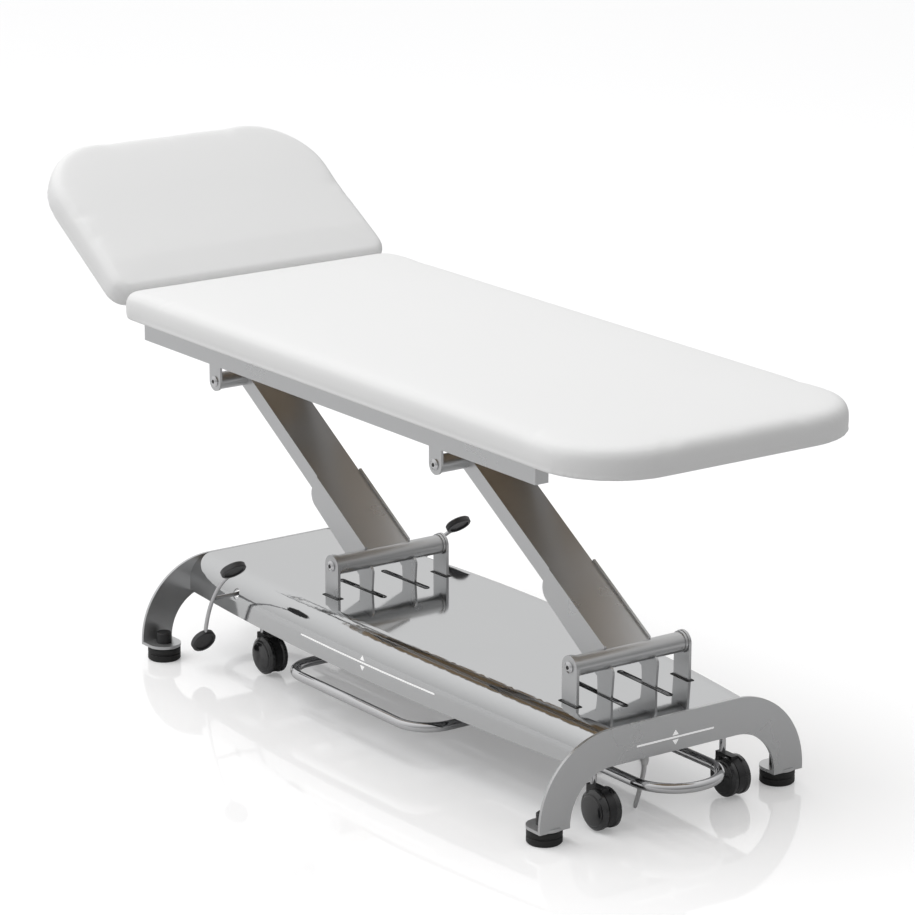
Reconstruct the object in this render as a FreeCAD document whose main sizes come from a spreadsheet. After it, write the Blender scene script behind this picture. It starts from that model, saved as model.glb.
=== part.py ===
# Height-adjustable examination table with a parallel-arm lift, a raised backrest and lifting castors.
# Millimetres. +X points to the foot end, +Y to the far side, +Z up.
# The origin lies on the floor under the middle of the base.

import FreeCAD, Part
import math
import os
import Sketcher

Vector = FreeCAD.Vector
Rotation = FreeCAD.Rotation
Placement = FreeCAD.Placement

os.makedirs("parts", exist_ok=True)
doc = FreeCAD.newDocument("examination_table")
sheet = doc.addObject("Spreadsheet::Sheet", "Sizes")


# A number that remembers the sheet formula it came from, so that a feature can be bound to it.
class Size(float):
    def __new__(cls, value, text):
        made = super().__new__(cls, value)
        made.text = text
        return made

    def __add__(self, other):
        return Size(float(self) + float(other), "(%s + %s)" % (self.text, formula(other)))

    def __radd__(self, other):
        return Size(float(other) + float(self), "(%s + %s)" % (formula(other), self.text))

    def __sub__(self, other):
        return Size(float(self) - float(other), "(%s - %s)" % (self.text, formula(other)))

    def __rsub__(self, other):
        return Size(float(other) - float(self), "(%s - %s)" % (formula(other), self.text))

    def __mul__(self, other):
        return Size(float(self) * float(other), "(%s * %s)" % (self.text, formula(other)))

    def __rmul__(self, other):
        return Size(float(other) * float(self), "(%s * %s)" % (formula(other), self.text))

    def __truediv__(self, other):
        return Size(float(self) / float(other), "(%s / %s)" % (self.text, formula(other)))

    def __neg__(self):
        return Size(-float(self), "(0 - %s)" % self.text)


def formula(value):
    return value.text if isinstance(value, Size) else "%.9g" % float(value)


def sine(angle):
    return Size(math.sin(math.radians(angle)), "sin(%s * 1deg)" % formula(angle))


def cosine(angle):
    return Size(math.cos(math.radians(angle)), "cos(%s * 1deg)" % formula(angle))


def tangent(angle):
    return Size(math.tan(math.radians(angle)), "tan(%s * 1deg)" % formula(angle))


sizes = {
    # Fits and clearances
    "running_gap": 0.05,
    "free_gap": 0.3,
    "side_gap": 0.5,
    # Upholstered top
    "top_width": 650,
    "seam_x": -696,
    "main_length": 1536,
    "head_length": 421,
    "seam_gap": 1,
    "cushion_thick": 53,
    "cushion_edge": 23,
    "cushion_foot_edge": 6,
    "corner_radius": 155,
    "seam_corner_radius": 26,
    "board_thick": 15,
    "board_inset": 14,
    # Arms of the lift
    "arm_length": 520,
    "arm_angle": 32.1,
    "lift_down": 28,
    "lift_up": 30,
    "pivot_spacing": 762,
    "pivot_middle": 145,
    "pivot_height": 270.6,
    "arm_width": 98,
    "arm_depth": 34,
    "arm_wall": 4,
    "tube_radius": 19,
    "tube_ring_radius": 21,
    "tube_ring_width": 5,
    "upper_tube_radius": 17.5,
    "pin_radius": 8,
    "pin_reach": 26,
    "screw_head_radius": 11,
    "screw_head_height": 5,
    "side_plate_thick": 5,
    "cheek_length": 211,
    "cheek_rise": 3.5,
    "cheek_drop": 18,
    "cheek_corner": 20,
    # Cranks under the lower pivots
    "crank_radius": 108,
    "crank_lean": 5,
    "crank_width": 56,
    "crank_end_radius": 16,
    "crank_corner": 14,
    "crank_hollow": 150,
    "crank_pin_radius": 7,
    "link_thick": 12,
    "link_height": 20,
    "yoke_y": 29,
    "yoke_thick": 14,
    "yoke_wall": 8,
    "yoke_play": 2.5,
    "rod_radius": 10,
    "motor_tube_radius": 18,
    "motor_tube_head": -100,
    "motor_x": 232,
    "motor_length": 112,
    "motor_width": 42,
    "motor_height": 46,
    # Lugs
    "lug_outer": 133,
    "lug_thick": 6,
    "lug_radius": 22,
    "upper_lug_outer": 116,
    "upper_lug_thick": 5,
    "upper_lug_radius": 20,
    # Frame of the top
    "rail_drop": 35,
    "rail_height": 60,
    "rail_width": 30,
    "rail_wall": 2.5,
    "rail_outer": 122,
    "rail_head_end": -931,
    "rail_foot_end": 402,
    "rail_cap": 3,
    "bearer_width": 40,
    "bearer_height": 64,
    "bearer_tip": 16,
    "bearer_half_length": 250,
    "bearer_wall": 3,
    "bearer_head_x": -530,
    "bearer_middle_x": -80,
    "bearer_rail_x": 360,
    "bearer_foot_x": 660,
    "stringer_width": 30,
    "stringer_height": 30,
    "stringer_wall": 2.5,
    "stringer_y": 165,
    # Backrest
    "head_tilt": 32.4,
    "head_up": 35.6,
    "quadrant_radius": 110,
    "quadrant_half_width": 15,
    "quadrant_thick": 6,
    "quadrant_y": 76,
    "quadrant_pin_radius": 6,
    "quadrant_first_pin": 128,
    "quadrant_pin_step": 16,
    "quadrant_tooth_pitch": 4,
    "quadrant_tooth_depth": 5,
    "hinge_plate_thick": 6,
    "head_rib_height": 25,
    "head_rib_length": 290,
    "head_bar_half_length": 250,
    "release_back": 49,
    "release_rise": 16.1,
    "release_radius": 6,
    "release_pivot_radius": 4,
    "release_reach": 160,
    "release_grip_half": 66,
    "release_grip_radius": 9,
    # Base
    "arch_reach": 668,
    "arch_thick": 6,
    "arch_half_width": 304.5,
    "leg_width": 67.6,
    "arch_top": 195.7,
    "arch_bar": 70.7,
    "arch_radius": 160,
    "base_rail_bottom": 148,
    "base_rail_height": 40,
    "base_rail_width": 30,
    "base_rail_wall": 2.5,
    "cross_plate": 6,
    "cross_plate_width": 40,
    "cover_half_width": 191,
    "cover_bulge": 35,
    "cover_bottom": 123.8,
    "cover_top": 195.5,
    "cover_crown": 14,
    "cover_edge": 50,
    "cover_wall": 2,
    "slot_play": 3,
    # Levelling feet
    "foot_inset": 31,
    "pad_radius": 33,
    "pad_height": 28,
    "knob_radius": 15.5,
    "knob_height": 22,
    "stud_radius": 6,
    # Castors and the beams that carry them
    "foot_castor_inset": 46,
    "head_castor_inset": 212,
    "castor_y": 150,
    "castor_clear": 3,
    "castor_trail": 25,
    "castor_drop": 12,
    "wheel_radius": 37.5,
    "wheel_width": 14.5,
    "wheel_space": 16,
    "axle_radius": 4,
    "hood_thick": 2.5,
    "stem_radius": 6,
    "stem_collar_radius": 9,
    "beam_width": 40,
    "beam_height": 25,
    "beam_half_length": 168,
    "guide_radius": 6,
    "guide_offset": 14,
    "guide_length": 34,
    # Castor pedals
    "pedal_turn": 38,
    "pedal_lead": 11,
    "pedal_z": 168,
    "pedal_y": 260,
    "pedal_lean": 12,
    "pedal_shaft_radius": 8,
    "pedal_rod_radius": 4,
    "pedal_pad_radius": 26,
    "pedal_pad_thick": 12,
    "pedal_pad_rim": 6,
    "pedal_pad_recess": 3,
    "pedal_high_x": 93,
    "pedal_high_z": 85,
    "pedal_low_x": -58,
    "pedal_low_z": -105,
    "cam_reach": 26,
    "cam_nose": 8,
    "cam_thick": 8,
    "cam_lead": 60,
    "tie_y": 72,
    "tie_lever": 15,
    "tie_thick": 6,
    "tie_bar_height": 5,
    "tie_eye_radius": 5.5,
    "tie_pin_radius": 3.5,
    # Foot switch frame
    "bar_radius": 9.5,
    "bar_height": 82,
    "bar_side_head": 252,
    "bar_side_foot": 228,
    "bar_side_reach": 246,
    "bar_end_half": 87,
    "bar_end_beyond": 78,
    "bar_corner": 65,
    "bar_inner_corner": 45,
    "bar_travel": 8,
    "bar_guide_radius": 5,
    "bar_guide_x": 300,
    # Power
    "box_length": 130,
    "box_width": 60,
    "box_height": 28,
    "gland_inset": 15,
    "gland_y": -57,
    "gland_tab": 3,
    "gland_tab_z": 127,
    "gland_tab_width": 24,
    "gland_neck": 5,
    "gland_radius": 7,
    "gland_length": 21,
    "cord_radius": 3.5,
    "coil_x": 215,
    "coil_y": 110,
    "coil_radius": 52.5,
    "coil_bore": 31.5,
    "coil_height": 21,
    "plug_x": 118,
    "plug_y": 148,
    "plug_radius": 13,
    "plug_length": 42,
    "plug_pin_radius": 2.4,
    "plug_pin_length": 19,
    "plug_pin_space": 19,
}


class Named:
    pass


s = Named()
for row, (alias, value) in enumerate(sizes.items(), start=1):
    sheet.set("A%d" % row, alias)
    sheet.set("B%d" % row, str(value))
    sheet.setAlias("B%d" % row, alias)
    setattr(s, alias, Size(value, "Sizes." + alias))
doc.recompute()

nodes = []


# Marks a finished piece, which is written under this name.
def finish(piece, name):
    piece.Label = name
    nodes.append(piece)
    return piece


def bind(piece, prop, value):
    piece.setExpression(prop, formula(value))


def move(piece, x=0, y=0, z=0):
    bind(piece, "Placement.Base.x", x)
    bind(piece, "Placement.Base.y", y)
    bind(piece, "Placement.Base.z", z)
    return piece


# Turns a piece about an axis through its own origin, then puts that origin at a place.
def turn(piece, axis, angle, x=0, y=0, z=0):
    piece.Placement = Placement(Vector(x, y, z), Rotation(axis, float(angle)))
    if isinstance(angle, Size):
        bind(piece, "Placement.Rotation.Angle", Size(float(angle), "%s * 1deg" % angle.text))
    return move(piece, x, y, z)


def box(name, length, width, height, x, y, z):
    made = doc.addObject("Part::Box", name)
    bind(made, "Length", length)
    bind(made, "Width", width)
    bind(made, "Height", height)
    return move(made, x, y, z)


# A box centred on x and y that stands on z.
def block(name, length, width, height, x, y, z):
    return box(name, length, width, height, x - length / 2, y - width / 2, z)


def rod(name, radius, length, x, y, z, axis="Z"):
    made = doc.addObject("Part::Cylinder", name)
    bind(made, "Radius", radius)
    bind(made, "Height", length)
    if axis == "Y":
        return turn(made, Vector(1, 0, 0), -90, x, y, z)
    if axis == "X":
        return turn(made, Vector(0, 1, 0), 90, x, y, z)
    return move(made, x, y, z)


def fuse(name, pieces):
    made = doc.addObject("Part::MultiFuse", name)
    made.Shapes = pieces
    made.Refine = True
    return made


def cut(name, base, tools):
    made = doc.addObject("Part::Cut", name)
    made.Base = base
    made.Tool = tools[0] if len(tools) == 1 else fuse(name + "_tools", tools)
    return made


def group(name, pieces):
    made = doc.addObject("Part::Compound", name)
    made.Links = pieces
    return made


def plane_of(body, role):
    return [feature for feature in body.Origin.OriginFeatures if feature.Role == role][0]


def add_sketch(body, role):
    sketch = body.newObject("Sketcher::SketchObject", body.Name + "_outline")
    sketch.AttachmentSupport = (plane_of(body, role), [""])
    sketch.MapMode = "FlatFace"
    return sketch


# Draws a closed outline. An entry is a corner (x, y), or (x, y, radius, side) where an arc of that
# radius leads on to the next corner, with its centre on the left (1) or on the right (-1).
def draw(sketch, corners):
    count = len(corners)
    for i in range(count):
        a = corners[i]
        b = corners[(i + 1) % count]
        start = Vector(a[0], a[1], 0)
        end = Vector(b[0], b[1], 0)
        if len(a) == 2:
            sketch.addGeometry(Part.LineSegment(start, end), False)
            continue
        chord = end - start
        half = chord.Length / 2
        inward = Vector(-chord.y, chord.x, 0) / chord.Length * a[3]
        height = math.sqrt(max(float(a[2]) ** 2 - half ** 2, 0))
        centre = (start + end) / 2 + inward * height
        middle = centre - inward * float(a[2])
        sketch.addGeometry(Part.Arc(start, middle, end), False)
    for i in range(count):
        arc = len(corners[i]) > 2
        arc_next = len(corners[(i + 1) % count]) > 2
        end_point = 2 if not arc or corners[i][3] > 0 else 1
        next_start = 1 if not arc_next or corners[(i + 1) % count][3] > 0 else 2
        sketch.addConstraint(Sketcher.Constraint("Coincident", i, end_point, (i + 1) % count, next_start))
    for i in range(count):
        arc = len(corners[i]) > 2
        start_point = 1 if not arc or corners[i][3] > 0 else 2
        for kind, value in (("DistanceX", corners[i][0]), ("DistanceY", corners[i][1])):
            index = sketch.addConstraint(Sketcher.Constraint(kind, i, start_point, float(value)))
            if isinstance(value, Size):
                sketch.setExpression("Constraints[%d]" % index, value.text)
        if arc:
            index = sketch.addConstraint(Sketcher.Constraint("Radius", i, float(corners[i][2])))
            if isinstance(corners[i][2], Size):
                sketch.setExpression("Constraints[%d]" % index, corners[i][2].text)


# A flat piece of even thickness, padded to both sides of its sketch plane.
def plate(name, role, corners, thick):
    body = doc.addObject("PartDesign::Body", name)
    sketch = add_sketch(body, role)
    draw(sketch, corners)
    pad = body.newObject("PartDesign::Pad", name + "_pad")
    pad.Profile = (sketch, [""])
    bind(pad, "Length", thick)
    pad.Midplane = True
    doc.recompute()
    return body


# A round piece turned about Z, from corners (radius, height).
def turned(name, corners):
    body = doc.addObject("PartDesign::Body", name)
    sketch = add_sketch(body, "XZ_Plane")
    draw(sketch, corners)
    turning = body.newObject("PartDesign::Revolution", name + "_turning")
    turning.Profile = (sketch, [""])
    turning.ReferenceAxis = (sketch, ["V_Axis"])
    turning.Angle = 360
    doc.recompute()
    return body


# Rounds the edges of a body that pass a test on their middle point and direction.
def round_edges(body, radius, test):
    tip = body.Tip
    names = []
    for i, edge in enumerate(tip.Shape.Edges, start=1):
        middle = edge.valueAt((edge.FirstParameter + edge.LastParameter) / 2)
        if test(middle, edge):
            names.append("Edge%d" % i)
    fillet = body.newObject("PartDesign::Fillet", "%s_round%d" % (body.Name, len(body.Group)))
    fillet.Base = (tip, names)
    bind(fillet, "Radius", radius)
    doc.recompute()
    return fillet


def corner_piece(before, point, after, radius):
    to_before = (before - point).normalize()
    to_after = (after - point).normalize()
    half = to_before.getAngle(to_after) / 2
    reach = float(radius) / math.tan(half)
    bisector = (to_before + to_after).normalize()
    centre = point + bisector * (float(radius) / math.sin(half))
    return point + to_before * reach, centre - bisector * float(radius), point + to_after * reach


# A path of straight runs joined by arcs, as a wire. Radii are given for every corner.
def rounded_path(points, radii, closed):
    count = len(points)
    pieces = []
    for i in range(count):
        if closed or 0 < i < count - 1:
            pieces.append(corner_piece(points[i - 1], points[i], points[(i + 1) % count], radii[i]))
        else:
            pieces.append((points[i], points[i], points[i]))
    edges = []
    for i in range(count):
        first, middle, last = pieces[i]
        if (last - first).Length > 1e-6:
            edges.append(Part.Arc(first, middle, last).toShape())
        if closed or i < count - 1:
            following = pieces[(i + 1) % count][0]
            if (following - last).Length > 1e-6:
                edges.append(Part.LineSegment(last, following).toShape())
    return Part.Wire(edges)


# A round bar swept along a wire.
def swept(name, wire, radius):
    first = wire.OrderedEdges[0]
    start = first.valueAt(first.FirstParameter)
    ring = Part.Wire([Part.Circle(start, first.tangentAt(first.FirstParameter), float(radius)).toShape()])
    made = doc.addObject("Part::Feature", name)
    made.Shape = wire.makePipeShell([ring], True, True)
    return made


# Places worked out from the driving sizes
pivots = {
    "head": s.pivot_middle - s.pivot_spacing / 2,
    "foot": s.pivot_middle + s.pivot_spacing / 2,
}
rise = s.arm_length * sine(s.arm_angle)
lean = s.arm_length * cosine(s.arm_angle)
upper_pivot_z = s.pivot_height + rise
rail_bottom = upper_pivot_z + s.rail_drop
rail_top = rail_bottom + s.rail_height
cushion_bottom = rail_top + s.bearer_height
cushion_top = cushion_bottom + s.cushion_thick
arch_inner = s.arch_reach - s.arch_thick
base_rail_outer = s.lug_outer - s.lug_thick
base_rail_inner = base_rail_outer - s.base_rail_width
rail_inner = s.rail_outer - s.rail_width
plate_y = (s.arm_width + s.side_plate_thick) / 2
foot_x = s.arch_reach - s.foot_inset
castor_x = {"head": s.head_castor_inset - s.arch_reach, "foot": s.arch_reach - s.foot_castor_inset}
pedal_x = castor_x["head"] - s.pedal_lead
follower_x = castor_x["foot"] - s.pedal_lead
gland_x = s.arch_reach - s.gland_inset
release_x = s.seam_x - s.release_back
release_z = rail_bottom + s.release_rise
crank_x = -s.crank_radius * sine(s.crank_lean)
crank_z = s.pivot_height - s.crank_radius * cosine(s.crank_lean)


# Base: two box rails under the cover, tied by flat cross plates
def hollow_rail(name, length, width, height, wall, x, y, z):
    outer = box(name + "_outer", length, width, height, x, y, z)
    inner = box(name + "_inner", length, width - wall * 2, height - wall * 2, x, y + wall, z + wall)
    return cut(name, outer, [inner])


def build_base_frame():
    rails = []
    for side, start in (("near", -base_rail_outer), ("far", base_rail_inner)):
        rails.append(hollow_rail("base_rail_" + side, arch_inner * 2, s.base_rail_width, s.base_rail_height,
                                 s.base_rail_wall, -arch_inner, start, s.base_rail_bottom))
    plates = []
    for index, x in enumerate((-s.cross_plate_width * 2, s.motor_x + s.motor_length / 2)):
        plates.append(block("cross_plate_%d" % index, s.cross_plate_width, base_rail_outer * 2, s.cross_plate,
                            x, 0, s.base_rail_bottom - s.cross_plate))
    brackets = []
    for x in (-s.bar_guide_x, s.bar_guide_x):
        for side in (-1, 1):
            middle = (base_rail_outer + s.bar_end_half - s.bar_guide_radius * 3) / 2 * side
            brackets.append(block("bar_bracket", s.cross_plate_width,
                                  base_rail_outer - s.bar_end_half + s.bar_guide_radius * 3, s.cross_plate,
                                  x, middle, s.base_rail_bottom - s.cross_plate))
    frame = fuse("base_frame_welded", rails + plates + brackets)
    holes = []
    for x in (pedal_x, follower_x):
        holes.append(rod("shaft_hole", s.pedal_shaft_radius + s.running_gap, base_rail_outer * 2 + 2,
                         x, -base_rail_outer - 1, s.pedal_z, "Y"))
    for x in castor_x.values():
        for side in (-1, 1):
            holes.append(rod("guide_hole", s.guide_radius + s.running_gap, s.base_rail_height + 2,
                             x + s.guide_offset, (base_rail_outer + base_rail_inner) / 2 * side,
                             s.base_rail_bottom - 1))
    for x in (-s.bar_guide_x, s.bar_guide_x):
        for side in (-1, 1):
            holes.append(rod("bar_hole", s.bar_guide_radius + s.running_gap, s.cross_plate + 2,
                             x, s.bar_end_half * side, s.base_rail_bottom - s.cross_plate - 1))
    finish(cut("base_frame", frame, holes), "base_frame")


# Base: end arches cut from plate, with bent feet that carry the levelling screws
def build_arch(end, side):
    inner_radius = s.arch_radius - s.leg_width
    shoulder = s.arch_half_width - s.arch_radius
    knee = s.arch_top - s.arch_radius
    leg_inner = s.arch_half_width - s.leg_width
    underside = s.arch_top - s.arch_bar
    inner_knee = underside - inner_radius
    face = plate(end + "_arch_face", "YZ_Plane", [
        (s.arch_half_width, s.pad_height),
        (s.arch_half_width, knee, s.arch_radius, 1),
        (shoulder, s.arch_top),
        (-shoulder, s.arch_top, s.arch_radius, 1),
        (-s.arch_half_width, knee),
        (-s.arch_half_width, s.pad_height),
        (-leg_inner, s.pad_height),
        (-leg_inner, inner_knee, inner_radius, -1),
        (-shoulder, underside),
        (shoulder, underside, inner_radius, -1),
        (leg_inner, inner_knee),
        (leg_inner, s.pad_height),
    ], s.arch_thick)
    move(face, (s.arch_reach - s.arch_thick / 2) * side)
    pieces = [face]
    holes = []
    foot_y = s.arch_half_width - s.leg_width / 2
    for flank in (-1, 1):
        pieces.append(block(end + "_tab", arch_inner - foot_x, s.leg_width, s.arch_thick,
                            (arch_inner + foot_x) / 2 * side, foot_y * flank, s.pad_height))
        pieces.append(rod(end + "_tab_end", s.leg_width / 2, s.arch_thick,
                          foot_x * side, foot_y * flank, s.pad_height))
        holes.append(rod(end + "_tab_hole", s.stud_radius + s.running_gap, s.arch_thick + 2,
                         foot_x * side, foot_y * flank, s.pad_height - 1))
    if side > 0:
        depth = (arch_inner - gland_x) * 2
        pieces.append(block("gland_shelf", depth, s.gland_tab_width, s.gland_tab, gland_x, s.gland_y,
                            s.gland_tab_z))
        holes.append(rod("gland_hole", s.gland_neck, s.gland_tab * 3, gland_x, s.gland_y,
                         s.gland_tab_z - s.gland_tab))
    finish(cut(end + "_arch", fuse(end + "_arch_bent", pieces), holes), end + "_arch")


# Base: folded sheet cover, crowned along its length and wider in the middle
def cover_blank(name, inset, extra):
    half = arch_inner + extra
    width = s.cover_half_width - inset
    plan_radius = (half * half + s.cover_bulge * s.cover_bulge) / (s.cover_bulge * 2)
    crown_radius = (half * half + s.cover_crown * s.cover_crown) / (s.cover_crown * 2)
    plan = plate(name + "_plan", "XY_Plane", [
        (-half, width),
        (-half, -width, plan_radius, 1),
        (half, -width),
        (half, width, plan_radius, 1),
    ], s.cover_top * 3)
    side = plate(name + "_side", "XZ_Plane", [
        (-half, s.cover_bottom - extra),
        (half, s.cover_bottom - extra),
        (half, s.cover_top - inset, crown_radius, 1),
        (-half, s.cover_top - inset),
    ], s.cover_half_width * 4)
    common = doc.addObject("Part::Common", name + "_block")
    common.Base = plan
    common.Tool = side
    doc.recompute()
    names = []
    for i, edge in enumerate(common.Shape.Edges, start=1):
        middle = edge.valueAt((edge.FirstParameter + edge.LastParameter) / 2)
        if edge.Length > half and middle.z > s.cover_top:
            names.append(i)
    rounded = doc.addObject("Part::Fillet", name)
    rounded.Base = common
    radius = float(s.cover_edge - inset)
    rounded.Edges = [(i, radius, radius) for i in names]
    return rounded


def slot(name, low_x, high_x, width, height, y, z):
    radius = width / 2
    return fuse(name, [
        box(name + "_mid", high_x - low_x - width, width, height, low_x + radius, y - radius, z),
        rod(name + "_low", radius, height, low_x + radius, y, z),
        rod(name + "_high", radius, height, high_x - radius, y, z),
    ])


def build_cover():
    outer = cover_blank("cover_outer", 0, 0)
    inner = cover_blank("cover_inner", s.cover_wall, 1)
    tools = [inner]
    drop = s.pivot_height - s.cover_top
    half = s.crank_width / 2
    forward = drop * tangent(s.lift_down - s.crank_lean) + half / cosine(s.lift_down - s.crank_lean)
    backward = drop * tangent(s.lift_up + s.crank_lean) + half / cosine(s.lift_up + s.crank_lean)
    tall = s.cover_edge + s.cover_crown
    low = s.cover_top - s.cover_edge / 2
    for end, x in pivots.items():
        for side in (-1, 1):
            tools.append(slot("crank_slot", x - backward - s.slot_play, x + forward + s.slot_play,
                              s.side_plate_thick + s.slot_play * 2, tall, plate_y * side, low))
            tools.append(block("lug_slot", s.lug_radius * 2 + s.slot_play * 2, s.lug_thick + s.slot_play * 2,
                               tall, x, (s.lug_outer - s.lug_thick / 2) * side, low))
    for side in (-1, 1):
        start = s.cover_half_width - s.cover_wall * 2
        length = s.cover_bulge + s.cover_wall * 4
        tools.append(rod("pedal_hole", s.pedal_shaft_radius + s.slot_play, length, pedal_x,
                         start if side > 0 else -start - length, s.pedal_z, "Y"))
    finish(cut("base_cover", outer, tools), "base_cover")


# Lugs: upright plates with a rounded end and a bore
def lug(name, radius, thick, bore, reach, x, y, z, upward):
    low = z if upward else z - reach
    body = fuse(name + "_blank", [
        block(name + "_web", radius * 2, thick, reach, x, y, low),
        rod(name + "_end", radius, thick, x, y - thick / 2, z, "Y"),
    ])
    return cut(name, body, [rod(name + "_bore", bore, thick + 2, x, y - thick / 2 - 1, z, "Y")])


def build_lugs():
    lower = []
    upper = []
    for end, x in pivots.items():
        for side in (-1, 1):
            lower.append(lug("lower_lug", s.lug_radius, s.lug_thick, s.pin_radius + s.running_gap,
                             s.pivot_height - s.base_rail_bottom, x, (s.lug_outer - s.lug_thick / 2) * side,
                             s.pivot_height, False))
            upper.append(lug("upper_lug", s.upper_lug_radius, s.upper_lug_thick, s.pin_radius + s.running_gap,
                             s.rail_drop, x - lean, (s.upper_lug_outer - s.upper_lug_thick / 2) * side,
                             upper_pivot_z, True))
    finish(group("lower_lugs", lower), "lower_lugs")
    finish(group("upper_lugs", upper), "upper_lugs")


# Pivot screws: a domed head outside each lug and a shank that the arm's tube turns on
def pivot_screw(name, lug_outer, x, z, side):
    shank = turned(name, [
        (0, -s.pin_reach - s.lug_thick),
        (s.pin_radius, -s.pin_reach - s.lug_thick),
        (s.pin_radius, s.running_gap),
        (s.screw_head_radius, s.running_gap),
        (s.screw_head_radius, s.screw_head_height * 0.4),
        (s.screw_head_radius * 0.6, s.screw_head_height * 0.9),
        (0, s.screw_head_height),
    ])
    return turn(shank, Vector(1, 0, 0), -90 * side, x, lug_outer * side, z)


def build_screws():
    for level, outer, z in (("lower", s.lug_outer, s.pivot_height),
                            ("upper", s.upper_lug_outer, upper_pivot_z)):
        screws = []
        for end, x in pivots.items():
            for side in (-1, 1):
                at = x if level == "lower" else x - lean
                screws.append(pivot_screw("%s_%s_screw_%s" % (level, end, "near" if side < 0 else "far"),
                                          outer, at, z, side))
        finish(group(level + "_pivot_screws", screws), level + "_pivot_screws")


# Arms: a flat box section welded between a lower and an upper cross tube
def build_arm(end):
    x = pivots[end]
    lower_half = s.lug_outer - s.lug_thick - s.side_gap
    upper_half = s.upper_lug_outer - s.upper_lug_thick - s.side_gap
    beam = box(end + "_beam", s.arm_length, s.arm_width, s.arm_depth, -s.arm_length, -s.arm_width / 2,
               -s.arm_depth / 2)
    hollow = block(end + "_hollow", s.arm_length - s.tube_radius * 4, s.arm_width - s.arm_wall * 2,
                   s.arm_depth - s.arm_wall * 2, -s.arm_length / 2, 0, -s.arm_depth / 2 + s.arm_wall)
    lower = rod(end + "_lower_tube", s.tube_radius, lower_half * 2, 0, -lower_half, 0, "Y")
    upper = rod(end + "_upper_tube", s.upper_tube_radius, upper_half * 2, -s.arm_length, -upper_half, 0, "Y")
    pieces = [beam, lower, upper]
    bores = [hollow]
    for side in (-1, 1):
        start = lower_half if side < 0 else lower_half - s.tube_ring_width
        pieces.append(rod(end + "_ring", s.tube_ring_radius, s.tube_ring_width, 0,
                          -start if side < 0 else start, 0, "Y"))
        deep = s.pin_reach + 1
        for half, at in ((lower_half, 0), (upper_half, -s.arm_length)):
            bores.append(rod(end + "_bore", s.pin_radius + s.running_gap, deep + 1, at,
                             -half - 1 if side < 0 else half - deep, 0, "Y"))
    arm = cut(end + "_arm", fuse(end + "_arm_welded", pieces), bores)
    turn(arm, Vector(0, 1, 0), s.arm_angle, x, 0, s.pivot_height)
    finish(arm, end + "_arm")

    top = s.arm_depth / 2 + s.cheek_rise
    bottom = -s.arm_depth / 2 - s.cheek_drop
    corner = s.cheek_corner * 1.4
    half = s.crank_width / 2
    plates = []
    for side in (-1, 1):
        y = plate_y * side
        cheek = plate(end + "_cheek", "XZ_Plane", [
            (0, top),
            (-s.cheek_length, top),
            (-s.cheek_length, bottom + corner, corner, 1),
            (-s.cheek_length + corner, bottom),
            (0, bottom - s.cheek_rise * 2),
        ], s.side_plate_thick)
        turn(cheek, Vector(0, 1, 0), s.arm_angle, x, y, s.pivot_height)
        crank = plate(end + "_crank", "XZ_Plane", [
            (-half, -s.tube_radius * 0.4, s.crank_hollow, -1),
            (-s.crank_end_radius, -s.crank_radius, s.crank_end_radius + 0.001, 1),
            (s.crank_end_radius, -s.crank_radius),
            (half, -s.crank_radius * 0.6),
            (half, -s.tube_radius * 0.4 - s.crank_corner, s.crank_corner, 1),
            (half - s.crank_corner, -s.tube_radius * 0.4),
        ], s.side_plate_thick)
        turn(crank, Vector(0, 1, 0), s.crank_lean, x, y, s.pivot_height)
        start = y - s.side_plate_thick
        deep = s.side_plate_thick * 2
        front = box(end + "_plate_front", s.crank_width, deep, s.crank_width, x, start, s.pivot_height)
        plates.append(cut(end + "_side_plate", fuse(end + "_plate_blank", [cheek, crank]), [
            rod(end + "_plate_cope", s.tube_radius + s.free_gap, deep, x, start, s.pivot_height, "Y"),
            rod(end + "_plate_bore", s.crank_pin_radius, deep, x + crank_x, start, crank_z, "Y"),
            front,
        ]))
    reach = plate_y + s.side_plate_thick / 2
    plates.append(rod(end + "_crank_pin", s.crank_pin_radius, reach * 2, x + crank_x, -reach, crank_z, "Y"))
    finish(fuse(end + "_side_plates", plates), end + "_side_plates")


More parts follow.
